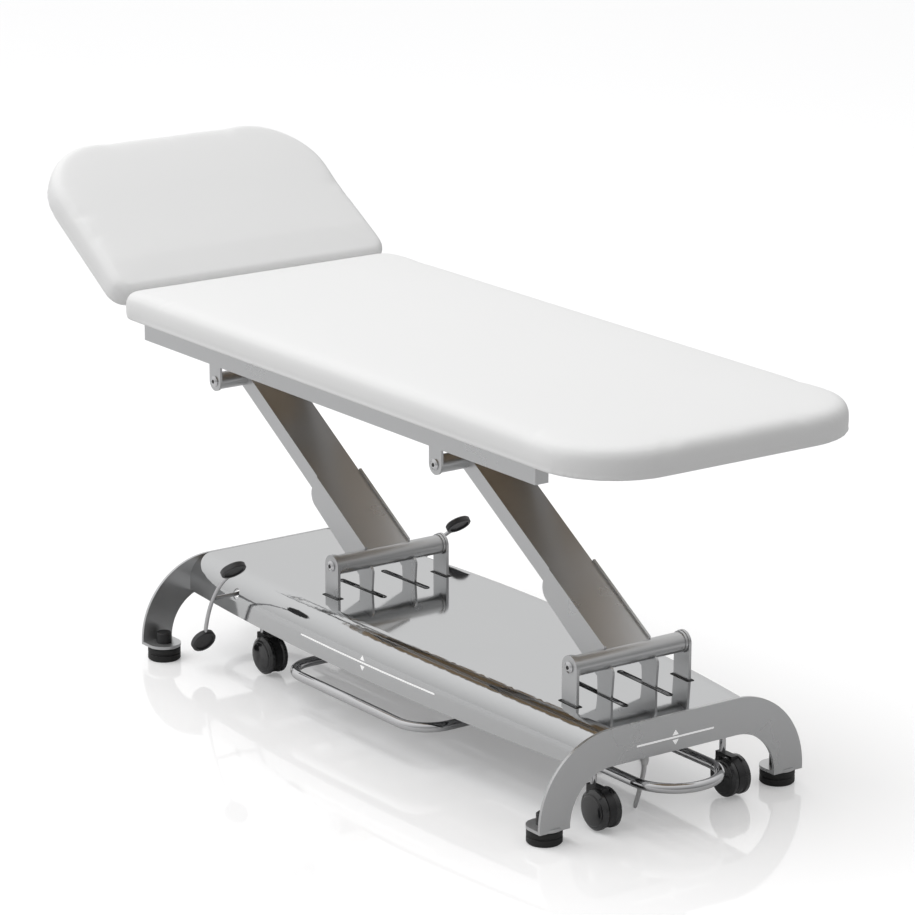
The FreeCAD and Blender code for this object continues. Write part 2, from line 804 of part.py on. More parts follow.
# Lift drive under the cover: a link between the cranks, and a motor that moves a slotted yoke
def build_drive():
    bore = s.crank_pin_radius + s.running_gap
    low = pivots["head"] + crank_x
    high = pivots["foot"] + crank_x
    link = fuse("link_blank", [
        box("link_bar", s.pivot_spacing, s.link_thick, s.link_height, low, -s.link_thick / 2,
            crank_z - s.link_height / 2),
        rod("link_end_low", s.crank_end_radius - 3, s.link_thick, low, -s.link_thick / 2, crank_z, "Y"),
        rod("link_end_high", s.crank_end_radius - 3, s.link_thick, high, -s.link_thick / 2, crank_z, "Y"),
    ])
    bores = [
        rod("link_bore_low", bore, s.link_thick + 2, low, -s.link_thick / 2 - 1, crank_z, "Y"),
        rod("link_bore_high", bore + s.free_gap, s.link_thick + 2, high, -s.link_thick / 2 - 1, crank_z, "Y"),
    ]
    finish(cut("crank_link", link, bores), "crank_link")

    lowest = crank_z - s.crank_pin_radius - s.yoke_play
    raised = s.pivot_height - s.crank_radius * cosine(s.crank_lean + s.lift_up)
    highest = raised + s.crank_pin_radius + s.yoke_play
    middle = (lowest + highest) / 2
    gap = s.crank_pin_radius + s.yoke_play
    yoke = cut("yoke", block("yoke_blank", gap * 2 + s.yoke_wall * 2, s.yoke_thick,
                             highest - lowest + s.yoke_wall, low, s.yoke_y, lowest - s.yoke_wall / 2),
               [block("yoke_gap", gap * 2, s.yoke_thick + 2, highest - lowest, low, s.yoke_y, lowest)])
    reach = s.motor_tube_head + s.motor_tube_radius * 8
    bar = rod("lift_rod_bar", s.rod_radius * 0.7, reach - low - gap - s.yoke_wall, low + gap + s.yoke_wall,
              s.yoke_y, middle, "X")
    finish(fuse("lift_rod", [yoke, bar]), "lift_rod")

    tube = cut("motor_tube", rod("motor_tube_outer", s.motor_tube_radius, s.motor_x - s.motor_tube_head,
                                 s.motor_tube_head, s.yoke_y, middle, "X"),
               [rod("motor_tube_bore", s.rod_radius * 0.7 + s.running_gap, s.motor_x - s.motor_tube_head,
                    s.motor_tube_head - 1, s.yoke_y, middle, "X")])
    case = block("motor_case", s.motor_length, s.motor_width, s.motor_height, s.motor_x + s.motor_length / 2,
                 s.yoke_y, s.base_rail_bottom)
    finish(fuse("lift_motor", [tube, case]), "lift_motor")


# Levelling feet: a rubber pad under the tab and a screw with a knob above it
def build_feet():
    foot_y = s.arch_half_width - s.leg_width / 2
    tab_top = s.pad_height + s.arch_thick
    number = 0
    for x in (-foot_x, foot_x):
        for y in (-foot_y, foot_y):
            number += 1
            pad = turned("pad_%d" % number, [
                (0, 0),
                (s.pad_radius - 3, 0),
                (s.pad_radius, 3),
                (s.pad_radius, s.pad_height * 0.45),
                (s.pad_radius * 0.94, s.pad_height * 0.5),
                (s.pad_radius * 0.94, s.pad_height * 0.56),
                (s.pad_radius, s.pad_height * 0.6),
                (s.pad_radius, s.pad_height - 3),
                (s.pad_radius - 3, s.pad_height - s.free_gap),
                (s.stud_radius, s.pad_height - s.free_gap),
                (s.stud_radius, s.pad_height * 0.5),
                (0, s.pad_height * 0.5),
            ])
            finish(move(pad, x, y, 0), "foot_pad_%d" % number)
            knob = turned("knob_%d" % number, [
                (0, s.pad_height * 0.5),
                (s.stud_radius - s.running_gap, s.pad_height * 0.5),
                (s.stud_radius - s.running_gap, tab_top + s.free_gap),
                (s.knob_radius, tab_top + s.free_gap),
                (s.knob_radius, tab_top + s.knob_height - 2),
                (s.knob_radius - 2, tab_top + s.knob_height),
                (0, tab_top + s.knob_height),
            ])
            finish(move(knob, x, y, 0), "foot_knob_%d" % number)


# Castors: twin wheels under a hood, on stems that turn in a beam
def build_castors():
    axle_z = s.castor_clear + s.wheel_radius
    beam_bottom = s.base_rail_bottom - 2 - s.beam_height
    hood_top = axle_z + s.wheel_radius + s.hood_thick + 2
    number = 0
    for end, beam_x in castor_x.items():
        stems = []
        for side in (-1, 1):
            number += 1
            y = s.castor_y * side
            stems.append(fuse("stem_%d" % number, [
                rod("stem_pin", s.stem_radius, beam_bottom - axle_z, beam_x, y, axle_z),
                rod("stem_collar", s.stem_collar_radius, 8, beam_x, y, beam_bottom - 8),
            ]))
            wheels = []
            for flank in (-1, 1):
                wheel = turned("wheel_%d_%s" % (number, "a" if flank < 0 else "b"), [
                    (s.axle_radius + s.running_gap, 0),
                    (s.wheel_radius - 3, 0),
                    (s.wheel_radius, 3),
                    (s.wheel_radius, s.wheel_width - 5),
                    (s.wheel_radius - 5, s.wheel_width - 1),
                    (s.wheel_radius - 9, s.wheel_width),
                    (s.axle_radius + s.running_gap, s.wheel_width),
                ])
                wheels.append(turn(wheel, Vector(1, 0, 0), -90 * flank, beam_x + s.castor_trail,
                                   y + s.wheel_space / 2 * flank, axle_z))
            finish(group("wheels_%d" % number, wheels), "castor_wheels_%d" % number)
            hub = fuse("hood_blank_%d" % number, [
                block("hood_web", s.castor_trail * 2 - 4, s.wheel_space - 2 * s.free_gap,
                      hood_top - axle_z - s.hood_thick, beam_x + s.castor_trail / 2, y, axle_z),
                rod("hood_boss", s.wheel_space / 2 - s.free_gap, hood_top - axle_z - s.hood_thick, beam_x, y,
                    axle_z),
                rod("hood_axle", s.axle_radius, s.wheel_space + s.wheel_width * 2 - 2, beam_x + s.castor_trail,
                    y - s.wheel_space / 2 - s.wheel_width + 1, axle_z, "Y"),
                rod("hood_round", s.wheel_radius - 2, s.wheel_space - 2 * s.free_gap, beam_x + s.castor_trail,
                    y - s.wheel_space / 2 + s.free_gap, axle_z, "Y"),
            ])
            hood = cut("hood_%d" % number, hub, [
                rod("hood_stem_bore", s.stem_radius + s.running_gap, hood_top * 2, beam_x, y, axle_z - 1),
            ])
            finish(hood, "castor_hood_%d" % number)
        finish(group("castor_stems_" + end, stems), "castor_stems_" + end)
        pieces = [block("beam_bar", s.beam_width, s.beam_half_length * 2, s.beam_height, beam_x, 0,
                        beam_bottom)]
        for side in (-1, 1):
            pieces.append(rod("beam_guide", s.guide_radius, s.guide_length, beam_x + s.guide_offset,
                              (base_rail_outer + base_rail_inner) / 2 * side, beam_bottom + s.beam_height))
        finish(fuse(end + "_castor_beam", pieces), end + "_castor_beam")


def cam(name, x, y):
    nose_x = x + s.cam_reach * sine(s.cam_lead)
    nose_z = s.pedal_z - s.cam_reach * cosine(s.cam_lead)
    hub = s.pedal_shaft_radius + 4
    body = doc.addObject("Part::Feature", name)
    start = float(y - s.cam_thick / 2)
    across = Vector(nose_x - x, 0, nose_z - s.pedal_z)
    along = across.normalize()
    side = Vector(-along.z, 0, along.x)
    centre = Vector(x, start, s.pedal_z)
    tip = Vector(nose_x, start, nose_z)
    hub_circle = Part.makeCylinder(hub, s.cam_thick, centre, Vector(0, 1, 0))
    tip_circle = Part.makeCylinder(s.cam_nose, s.cam_thick, tip, Vector(0, 1, 0))
    web = Part.Face(Part.makePolygon([
        centre + side * float(hub),
        tip + side * float(s.cam_nose),
        tip - side * float(s.cam_nose),
        centre - side * float(hub),
        centre + side * float(hub),
    ])).extrude(Vector(0, s.cam_thick, 0))
    body.Shape = hub_circle.fuse([tip_circle, web]).removeSplitter()
    return body


def tie_arm(name, x):
    return fuse(name, [
        block(name + "_web", s.pedal_shaft_radius * 1.6, s.tie_thick, s.tie_lever + s.tie_eye_radius, x,
              -s.tie_y + s.tie_thick, s.pedal_z),
        rod(name + "_hub", s.pedal_shaft_radius + 4, s.tie_thick, x, -s.tie_y + s.tie_thick / 2, s.pedal_z, "Y"),
        rod(name + "_pin", s.tie_pin_radius, s.tie_thick * 1.5, x, -s.tie_y - s.tie_thick / 2,
            s.pedal_z + s.tie_lever, "Y"),
    ])


# Castor pedals: a cross shaft with cams, and a bent rod with two foot pads on each side
def build_pedals():
    shaft_half = s.pedal_y - s.pedal_rod_radius - s.side_gap
    shaft = [
        rod("pedal_shaft_bar", s.pedal_shaft_radius, base_rail_outer * 2 + 40, pedal_x,
            -base_rail_outer - 20, s.pedal_z, "Y"),
        rod("pedal_shaft_ends", s.pedal_rod_radius, shaft_half * 2, pedal_x, -shaft_half, s.pedal_z, "Y"),
        cam("pedal_cam_near", pedal_x, -s.tie_y / 2),
        cam("pedal_cam_far", pedal_x, s.tie_y / 2),
        tie_arm("pedal_tie_arm", pedal_x),
    ]
    finish(fuse("pedal_shaft", shaft), "pedal_shaft")
    follower = [
        rod("follower_bar", s.pedal_shaft_radius, base_rail_outer * 2, follower_x, -base_rail_outer,
            s.pedal_z, "Y"),
        cam("follower_cam_near", follower_x, -s.tie_y / 2),
        cam("follower_cam_far", follower_x, s.tie_y / 2),
        tie_arm("follower_tie_arm", follower_x),
    ]
    finish(fuse("follower_shaft", follower), "follower_shaft")
    tie_z = s.pedal_z + s.tie_lever
    bar = fuse("tie_blank", [
        box("tie_bar", follower_x - pedal_x, s.tie_thick, s.tie_bar_height, pedal_x, -s.tie_y - s.tie_thick / 2,
            tie_z - s.tie_bar_height / 2),
        rod("tie_eye_low", s.tie_eye_radius, s.tie_thick, pedal_x, -s.tie_y - s.tie_thick / 2, tie_z, "Y"),
        rod("tie_eye_high", s.tie_eye_radius, s.tie_thick, follower_x, -s.tie_y - s.tie_thick / 2, tie_z, "Y"),
    ])
    bores = [rod("tie_bore", s.tie_pin_radius + s.running_gap, s.tie_thick + 2, x,
                 -s.tie_y - s.tie_thick / 2 - 1, tie_z, "Y")
             for x in (pedal_x, follower_x)]
    finish(cut("castor_tie_bar", bar, bores), "castor_tie_bar")

    rods = []
    pads = []
    upper = (s.pedal_high_x, s.pedal_high_z)
    lower = (s.pedal_low_x, s.pedal_low_z)
    half = s.pedal_pad_thick / 2
    dish = s.pedal_pad_radius - s.pedal_pad_rim
    for side in (-1, 1):
        y = s.pedal_y * side
        middle = Vector(pedal_x, y, s.pedal_z)
        ends = []
        for number, (dx, dz) in enumerate((upper, lower)):
            dy = s.pedal_lean * (1 if number == 0 else -1) * side
            reach = math.hypot(dx, dy, dz)
            grip = reach - float(s.pedal_pad_radius) - float(s.side_gap) - 0.3
            ends.append(middle + Vector(dx, dy, dz) * (grip / reach))
            pad = turned("pedal_pad_%d_%s" % (number, "near" if side < 0 else "far"), [
                (0, -half + s.pedal_pad_recess),
                (dish, -half + s.pedal_pad_recess),
                (dish, -half),
                (s.pedal_pad_radius - 2, -half),
                (s.pedal_pad_radius, -half + 2),
                (s.pedal_pad_radius, half - 2),
                (s.pedal_pad_radius - 2, half),
                (dish, half),
                (dish, half - s.pedal_pad_recess),
                (0, half - s.pedal_pad_recess),
            ])
            tilt = -math.degrees(math.atan2(dz, dx))
            turn(pad, Vector(0, 1, 0), tilt, pedal_x + dx, y + dy, s.pedal_z + dz)
            pads.append(pad)
        path = Part.Wire([Part.Arc(ends[0], middle, ends[1]).toShape()])
        rods.append(swept("pedal_rod_bar", path, s.pedal_rod_radius))
    finish(group("pedal_rods", rods), "pedal_rods")
    finish(group("pedal_pads", pads), "pedal_pads")


# Foot switch frame: one bent tube round the underside, reached from every side, on four guide pins
def build_foot_bar():
    head_x = s.bar_radius - s.bar_side_head
    foot_x_side = s.bar_side_foot - s.bar_radius
    side_y = s.bar_side_reach
    end_x = s.arch_reach + s.bar_end_beyond
    end_y = s.bar_end_half
    points = []
    radii = []
    outer = s.bar_corner
    inner = s.bar_inner_corner
    end_radius = s.bar_end_half - 2
    for x, y, radius in (
            (end_x, -end_y, end_radius), (end_x, end_y, end_radius), (foot_x_side, end_y, inner),
            (foot_x_side, side_y, outer), (head_x, side_y, outer), (head_x, end_y, inner),
            (-end_x, end_y, end_radius), (-end_x, -end_y, end_radius), (head_x, -end_y, inner),
            (head_x, -side_y, outer), (foot_x_side, -side_y, outer), (foot_x_side, -end_y, inner)):
        points.append(Vector(x, y, s.bar_height))
        radii.append(radius)
    ring = swept("foot_bar_tube", rounded_path(points, radii, True), s.bar_radius)
    pins = []
    top = s.base_rail_bottom + s.bar_travel * 2
    for x in (-s.bar_guide_x, s.bar_guide_x):
        for side in (-1, 1):
            pins.append(rod("bar_pin", s.bar_guide_radius, top - s.bar_height, x, s.bar_end_half * side,
                            s.bar_height))
    finish(fuse("foot_bar", [ring] + pins), "foot_bar")


# Frame of the top: two box rails, caps, bearers under the boards and two stringers
def build_top_frame():
    length = s.rail_foot_end - s.rail_head_end
    rails = []
    for side, start in (("near", -s.rail_outer), ("far", rail_inner)):
        rail = hollow_rail("top_rail_" + side, length, s.rail_width, s.rail_height, s.rail_wall,
                           s.rail_head_end, start, rail_bottom)
        rails.append(cut("bored_rail_" + side, rail, [
            rod("release_hole", s.release_pivot_radius + s.running_gap, s.rail_width / 2 + 1, release_x,
                rail_inner - 1 if side == "far" else s.rail_width / 2 - s.rail_outer, release_z, "Y"),
        ]))
    finish(group("top_rails", rails), "top_rails")
    caps = []
    for start in (-s.rail_outer, rail_inner):
        for x in (s.rail_head_end - s.rail_cap, s.rail_foot_end):
            caps.append(box("rail_cap", s.rail_cap, s.rail_width, s.rail_height, x, start, rail_bottom))
    finish(group("rail_caps", caps), "rail_caps")
    bearers = []
    low_half = s.rail_outer + s.bearer_wall * 4
    for x in (s.bearer_head_x, s.bearer_middle_x, s.bearer_rail_x):
        outline = [
            (-s.bearer_half_length, cushion_bottom),
            (-s.bearer_half_length, cushion_bottom - s.bearer_tip),
            (-low_half, rail_top),
            (low_half, rail_top),
            (s.bearer_half_length, cushion_bottom - s.bearer_tip),
            (s.bearer_half_length, cushion_bottom),
        ]
        blank = move(plate("bearer_blank", "YZ_Plane", outline, s.bearer_width), x)
        hollow = block("bearer_hollow", s.bearer_width - s.bearer_wall * 2, s.bearer_half_length * 2 + 2,
                       s.bearer_height, x, 0, rail_top - s.bearer_wall)
        bearers.append(cut("bearer", blank, [hollow]))
    stringer_end = s.bearer_foot_x + s.bearer_width / 2
    stringer_start = s.bearer_head_x - s.bearer_width / 2
    for side in (-1, 1):
        bearers.append(hollow_rail("stringer", stringer_end - stringer_start, s.stringer_width,
                                   s.stringer_height, s.stringer_wall, stringer_start,
                                   s.stringer_y * side - s.stringer_width / 2,
                                   cushion_bottom - s.stringer_height))
    bearers.append(block("foot_bearer", s.bearer_width, s.bearer_half_length * 2, s.bearer_tip,
                         s.bearer_foot_x, 0, cushion_bottom - s.bearer_tip))
    finish(fuse("top_bearers", bearers), "top_bearers")


# Upholstered sections: a board and a cushion each, drawn lying flat
def rounded_slab(name, low_x, high_x, half_width, thick, low_radius, high_radius):
    return plate(name, "XY_Plane", [
        (high_x, -half_width + high_radius),
        (high_x, half_width - high_radius, high_radius, 1),
        (high_x - high_radius, half_width),
        (low_x + low_radius, half_width, low_radius, 1),
        (low_x, half_width - low_radius),
        (low_x, -half_width + low_radius, low_radius, 1),
        (low_x + low_radius, -half_width),
        (high_x - high_radius, -half_width, high_radius, 1),
    ], thick)


def build_section(part, low_x, high_x, low_radius, high_radius):
    half = s.top_width / 2
    slab = rounded_slab(part + "_slab", low_x, high_x, half, s.cushion_thick, low_radius, high_radius)
    move(slab, 0, 0, s.cushion_thick / 2)
    round_edges(slab, s.cushion_edge, lambda middle, edge: middle.z > s.cushion_thick / 2 - 0.01)
    round_edges(slab, s.cushion_foot_edge, lambda middle, edge: middle.z < -s.cushion_thick / 2 + 0.01)
    layers = []
    for name, inset in (("recess", s.board_inset - s.side_gap), ("board", s.board_inset)):
        layer = rounded_slab(part + "_layer_" + name, low_x + inset, high_x - inset, half - inset, s.board_thick,
                             low_radius - inset / 2, high_radius - inset)
        layers.append(move(layer, 0, 0, s.board_thick / 2))
    return cut(part + "_padding", slab, [layers[0]]), layers[1]


# The backrest turns about the middle of the rounded edge at the seam, so that the seam stays closed.
head_axis_x = s.seam_x + s.cushion_edge
head_axis_z = cushion_top - s.cushion_edge
head_drop = s.cushion_thick - s.cushion_edge


def lift_head(piece):
    return turn(piece, Vector(0, 1, 0), s.head_tilt, head_axis_x, 0, head_axis_z)


def build_top():
    cushion, board = build_section("main", s.seam_x, s.seam_x + s.main_length, s.seam_corner_radius,
                                   s.corner_radius)
    finish(move(cushion, 0, 0, cushion_bottom), "main_cushion")
    finish(move(board, 0, 0, cushion_bottom + s.board_thick / 2), "main_board")

    high = -s.cushion_edge - s.seam_gap
    cushion, board = build_section("head", high - s.head_length, high, s.corner_radius, s.seam_corner_radius)
    move(cushion, 0, 0, -head_drop)
    move(board, 0, 0, s.board_thick / 2 - head_drop)
    finish(lift_head(group("head_cushion_lift", [cushion])), "head_cushion")
    finish(lift_head(group("head_board_lift", [board])), "head_board")


# Backrest hinge. Angles run from +X down towards -Z about the hinge line, as the backrest lies flat.
def around(radius, angle):
    return radius * cosine(angle), -(radius * sine(angle))


def sector(name, inner, outer, thick, low, high):
    return plate(name, "XZ_Plane", [
        around(outer, low) + (outer, -1),
        around(outer, high),
        around(inner, high) + (inner, 1),
        around(inner, low),
    ], thick)


def build_hinge():
    total = s.head_tilt + s.head_up
    first = s.quadrant_first_pin
    last = first - s.quadrant_pin_step
    slot_low = last - total
    plate_low = slot_low - 8
    inner = s.quadrant_radius - s.quadrant_half_width
    outer = s.quadrant_radius + s.quadrant_half_width
    gap = s.quadrant_pin_radius + s.running_gap
    rib = s.head_rib_height
    rib_start = -s.quadrant_radius
    pieces = []
    for side in (-1, 1):
        y = s.quadrant_y * side
        rim = sector("quadrant_rim", inner, outer, s.quadrant_thick, plate_low, 168)
        notch = rim.newObject("PartDesign::Pocket", "quadrant_notch")
        outline = add_sketch(rim, "XZ_Plane")
        start = plate_low + s.quadrant_tooth_pitch
        draw(outline, [
            around(outer + 1, start - s.quadrant_tooth_pitch * 0.4),
            around(outer + 1, start + s.quadrant_tooth_pitch * 0.4),
            around(outer - s.quadrant_tooth_depth, start + s.quadrant_tooth_pitch * 0.1),
            around(outer - s.quadrant_tooth_depth, start - s.quadrant_tooth_pitch * 0.1),
        ])
        notch.Profile = (outline, [""])
        notch.Type = "ThroughAll"
        notch.Midplane = True
        doc.recompute()
        teeth = rim.newObject("PartDesign::PolarPattern", "quadrant_teeth")
        teeth.Originals = [notch]
        teeth.Axis = (outline, ["N_Axis"])
        teeth.Reversed = True
        teeth.Mode = "Spacing"
        bind(teeth, "Offset", s.quadrant_tooth_pitch)
        bind(teeth, "Occurrences", (total + s.quadrant_pin_step) / s.quadrant_tooth_pitch - 1)
        rim.Tip = teeth
        doc.recompute()
        move(rim, 0, y, 0)
        way = sector("quadrant_way", s.quadrant_radius - gap, s.quadrant_radius + gap, s.quadrant_thick * 2,
                     slot_low, first)
        tools = [move(way, 0, y, 0)]
        for angle in (slot_low, first):
            x, z = around(s.quadrant_radius, angle)
            tools.append(rod("quadrant_way_end", gap, s.quadrant_thick * 2, x, y - s.quadrant_thick, z, "Y"))
        tools.append(block("quadrant_level", outer * 4, s.quadrant_thick * 2, outer, 0, y, -head_drop))
        pieces.append(cut("quadrant", rim, tools))
        flank = (s.quadrant_y - s.quadrant_thick / 2 - rib / 2) * side
        pieces.append(block("head_rib", s.head_rib_length, rib, rib, rib_start - s.head_rib_length / 2, flank,
                            -head_drop - rib))
        pieces.append(block("quadrant_tab", rib * 3, s.quadrant_thick, rib, rib_start - rib * 1.5, y,
                            -head_drop - rib))
    for x in (rib_start - s.head_rib_length * 0.3, rib_start - s.head_rib_length + rib / 2):
        pieces.append(block("head_bar", rib, s.head_bar_half_length * 2, rib / 2, x, 0, -head_drop - rib / 2))
    finish(lift_head(fuse("head_frame_flat", pieces)), "head_frame")

    brackets = []
    pins = []
    for side in (-1, 1):
        top_x = []
        for angle in (first, last):
            dx, dz = around(s.quadrant_radius, angle)
            start = s.quadrant_y - s.quadrant_thick / 2 - 3
            length = rail_inner - s.hinge_plate_thick - start
            pins.append(rod("quadrant_pin", s.quadrant_pin_radius, length, head_axis_x + dx,
                            start if side > 0 else -start - length, head_axis_z + dz, "Y"))
            top_x.append(head_axis_x + dx)
        reach = s.quadrant_pin_radius * 2.5
        bracket = block("hinge_plate", top_x[1] - top_x[0] + reach * 2, s.hinge_plate_thick,
                        head_axis_z - s.quadrant_radius * sine(first) + reach - rail_bottom,
                        (top_x[0] + top_x[1]) / 2, (rail_inner - s.hinge_plate_thick / 2) * side, rail_bottom)
        brackets.append(bracket)
    bores = [rod("release_bore", s.release_pivot_radius + s.running_gap, rail_inner * 2 + 2, release_x,
                 -rail_inner - 1, release_z, "Y")]
    finish(cut("hinge_brackets", fuse("hinge_plates", brackets + pins), bores), "hinge_brackets")

    # A bar under the head end lets the pawls go and drops back by its spring.
    rod_x = release_x - head_axis_x
    rod_z = release_z - head_axis_z
    clear = outer + s.side_gap
    nose = around(clear, 105)
    shaft_half = rail_inner - s.hinge_plate_thick - s.side_gap
    pivot_half = rail_inner + s.rail_wall * 2
    lever = [
        rod("release_shaft", s.release_radius, shaft_half * 2, release_x, -shaft_half, release_z, "Y"),
        rod("release_pivots", s.release_pivot_radius, pivot_half * 2, release_x, -pivot_half, release_z, "Y"),
        rod("release_grip", s.release_grip_radius, s.release_grip_half * 2, release_x - s.release_reach,
            -s.release_grip_half, release_z, "Y"),
    ]
    for side in (-1, 1):
        pawl = plate("release_pawl", "XZ_Plane", [
            (rod_x, rod_z + s.release_radius + 3),
            (rod_x, rod_z - s.release_radius - 3),
            (nose[0] + 8, nose[1] - 12),
            (nose[0] + 3, nose[1] - 2),
            nose,
            (nose[0] - 6, nose[1] - 4),
        ], s.quadrant_thick)
        lever.append(move(pawl, head_axis_x, s.quadrant_y * side, head_axis_z))
        lever.append(block("release_arm", s.release_reach, s.release_radius, s.release_radius * 2,
                           release_x - s.release_reach / 2, (s.release_grip_half - s.release_radius) * side,
                           release_z - s.release_radius))
    finish(fuse("release_bar", lever), "release_bar")


# Power: a control box on a cross plate, a gland at the foot end, and the mains lead with its plug
def cord_path(points):
    vectors = [Vector(*point) for point in points]
    radii = [0]
    for before, point, after in zip(vectors, vectors[1:], vectors[2:]):
        bend = (point - before).getAngle(after - point)
        shorter = min((point - before).Length, (after - point).Length)
        radii.append(0.45 * shorter / math.tan(bend / 2))
    radii.append(0)
    return rounded_path(vectors, radii, False)


def build_power():
    case = box("control_case", s.box_length, s.box_width, s.box_height, -s.cross_plate_width * 2.5,
               -base_rail_inner + s.side_gap * 4, s.base_rail_bottom)
    finish(case, "control_box")
    gland = turned("gland_body", [
        (0, s.gland_tab_z - s.gland_length),
        (s.gland_neck, s.gland_tab_z - s.gland_length),
        (s.gland_radius, s.gland_tab_z - s.gland_length + 6),
        (s.gland_radius, s.gland_tab_z),
        (s.gland_neck - s.running_gap, s.gland_tab_z),
        (s.gland_neck - s.running_gap, s.gland_tab_z + s.gland_tab),
        (s.gland_radius, s.gland_tab_z + s.gland_tab),
        (s.gland_radius, s.gland_tab_z + s.gland_tab + 5),
        (0, s.gland_tab_z + s.gland_tab + 5),
    ])
    finish(move(gland, gland_x, s.gland_y, 0), "cord_gland")
    low = float(s.cord_radius)
    gland_end = s.gland_tab_z - s.gland_length
    turns_y = s.coil_y + (s.coil_radius + s.coil_bore) / 2
    lead = [(gland_x, s.gland_y, gland_end), (gland_x, s.gland_y, gland_end - 10)]
    for back, aside, z in ((4, -1, 80), (13, 0, 52), (27, 5, 26), (43, 13, 8), (66, 32, low), (104, 69, low),
                           (160, 121, low), (220, 176, low), (281, 212, low), (340, 219, low)):
        lead.append((gland_x - back, s.gland_y + aside, z))
    lead.append((s.coil_x + 40, turns_y, low))
    lead.append((s.coil_x + 23, turns_y, low))
    lead = cord_path(lead)
    tail = cord_path([
        (s.coil_x - 23, turns_y, s.coil_height - low), (s.coil_x - 49, turns_y - 2, s.plug_radius + 3),
        (s.plug_x + 25, s.plug_y, s.plug_radius), (s.plug_x, s.plug_y, s.plug_radius),
    ])
    finish(group("mains_cord", [swept("lead", lead, s.cord_radius), swept("tail", tail, s.cord_radius)]),
           "mains_cord")
    finish(cut("cord_coil", rod("coil_outer", s.coil_radius, s.coil_height, s.coil_x, s.coil_y, 0),
               [rod("coil_inner", s.coil_bore, s.coil_height + 2, s.coil_x, s.coil_y, -1)]), "cord_coil")
    shell = turned("plug_shell", [
        (0, 0),
        (s.plug_radius * 0.5, 0),
        (s.plug_radius * 0.7, s.plug_length * 0.45),
        (s.plug_radius, s.plug_length * 0.6),
        (s.plug_radius, s.plug_length),
        (0, s.plug_length),
    ])
    turn(shell, Vector(0, 1, 0), -90, s.plug_x, s.plug_y, s.plug_radius)
    pins = [rod("plug_pin", s.plug_pin_radius, s.plug_pin_length + 2, s.plug_x - s.plug_length - s.plug_pin_length,
                s.plug_y + s.plug_pin_space / 2 * side, s.plug_radius, "X") for side in (-1, 1)]
    finish(fuse("plug_whole", [shell] + pins), "mains_plug")


build_base_frame()
build_arch("head", -1)
build_arch("foot", 1)
build_cover()
build_lugs()
build_screws()
build_arm("head")
build_arm("foot")
build_drive()
build_feet()
build_castors()
build_pedals()
build_foot_bar()
build_top_frame()
build_top()
build_hinge()
build_power()
doc.recompute()

for feature in doc.Objects:
    if "Invalid" in feature.State or "Error" in feature.State:
        raise RuntimeError("%s did not build: %s" % (feature.Label, feature.State))
for piece in nodes:
    if piece.Shape.isNull() or not piece.Shape.isValid():
        raise RuntimeError("%s has no valid shape" % piece.Label)
for piece in nodes:
    piece.Shape.exportStep("parts/%s.step" % piece.Label)
    print("%-22s %2d solids %10.0f mm3" % (piece.Label, len(piece.Shape.Solids), piece.Shape.Volume))
print(len(nodes), "nodes")
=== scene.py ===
# Examination table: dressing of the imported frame, metres, +X to the foot end, +Y to the far side
import math

import bmesh
import bpy
from mathutils import Matrix, Vector
from mathutils.bvhtree import BVHTree


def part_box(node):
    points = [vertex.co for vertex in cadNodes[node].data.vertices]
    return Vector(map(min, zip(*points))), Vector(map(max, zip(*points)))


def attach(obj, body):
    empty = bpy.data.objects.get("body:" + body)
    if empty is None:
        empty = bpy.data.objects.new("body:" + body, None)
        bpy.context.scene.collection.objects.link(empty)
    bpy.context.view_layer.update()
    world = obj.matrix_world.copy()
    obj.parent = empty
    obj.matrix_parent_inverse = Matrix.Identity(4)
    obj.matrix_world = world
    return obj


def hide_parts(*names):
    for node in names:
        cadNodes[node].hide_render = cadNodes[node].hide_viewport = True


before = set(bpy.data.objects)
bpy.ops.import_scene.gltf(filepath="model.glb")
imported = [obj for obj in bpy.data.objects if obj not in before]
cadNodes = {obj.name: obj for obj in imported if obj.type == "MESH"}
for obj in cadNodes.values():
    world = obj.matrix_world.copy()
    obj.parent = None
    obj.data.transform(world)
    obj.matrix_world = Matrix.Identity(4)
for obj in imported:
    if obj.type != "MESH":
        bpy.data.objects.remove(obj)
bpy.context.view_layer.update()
scene = bpy.context.scene
print("frame loaded:", len(cadNodes), "nodes")

# Camera
camera = {
    "azimuth": 54.005, "elevation": 15.567, "roll": 0.184,
    "target": (-0.00252, 0.0, 0.52194), "distance": 7.7903,
    "lens": 160.74, "sensor": 36.0,
}


def placeCamera(c):
    azimuth, elevation, roll = (math.radians(c[k]) for k in ("azimuth", "elevation", "roll"))
    look = Vector((-math.sin(azimuth) * math.cos(elevation), math.cos(azimuth) * math.cos(elevation),
                   -math.sin(elevation)))
    right = look.cross(Vector((0, 0, 1))).normalized()
    up = right.cross(look)
    turnedRight = right * math.cos(roll) + up * math.sin(roll)
    turnedUp = up * math.cos(roll) - right * math.sin(roll)
    data = bpy.data.cameras.new("tableCamera")
    data.lens = c["lens"]
    data.sensor_width = c["sensor"]
    data.sensor_fit = "HORIZONTAL"
    data.clip_end = 100
    cam = bpy.data.objects.new("tableCamera", data)
    place = Matrix((turnedRight, turnedUp, -look)).transposed().to_4x4()
    place.translation = Vector(c["target"]) - look * c["distance"]
    cam.matrix_world = place
    scene.collection.objects.link(cam)
    scene.camera = cam


placeCamera(camera)


# Node helpers
def newMaterial(name):
    material = bpy.data.materials.new(name)
    material.use_nodes = True
    material.node_tree.nodes.clear()
    tree = material.node_tree
    shader = tree.nodes.new("ShaderNodeBsdfPrincipled")
    out = tree.nodes.new("ShaderNodeOutputMaterial")
    tree.links.new(shader.outputs["BSDF"], out.inputs["Surface"])
    return material, tree, shader


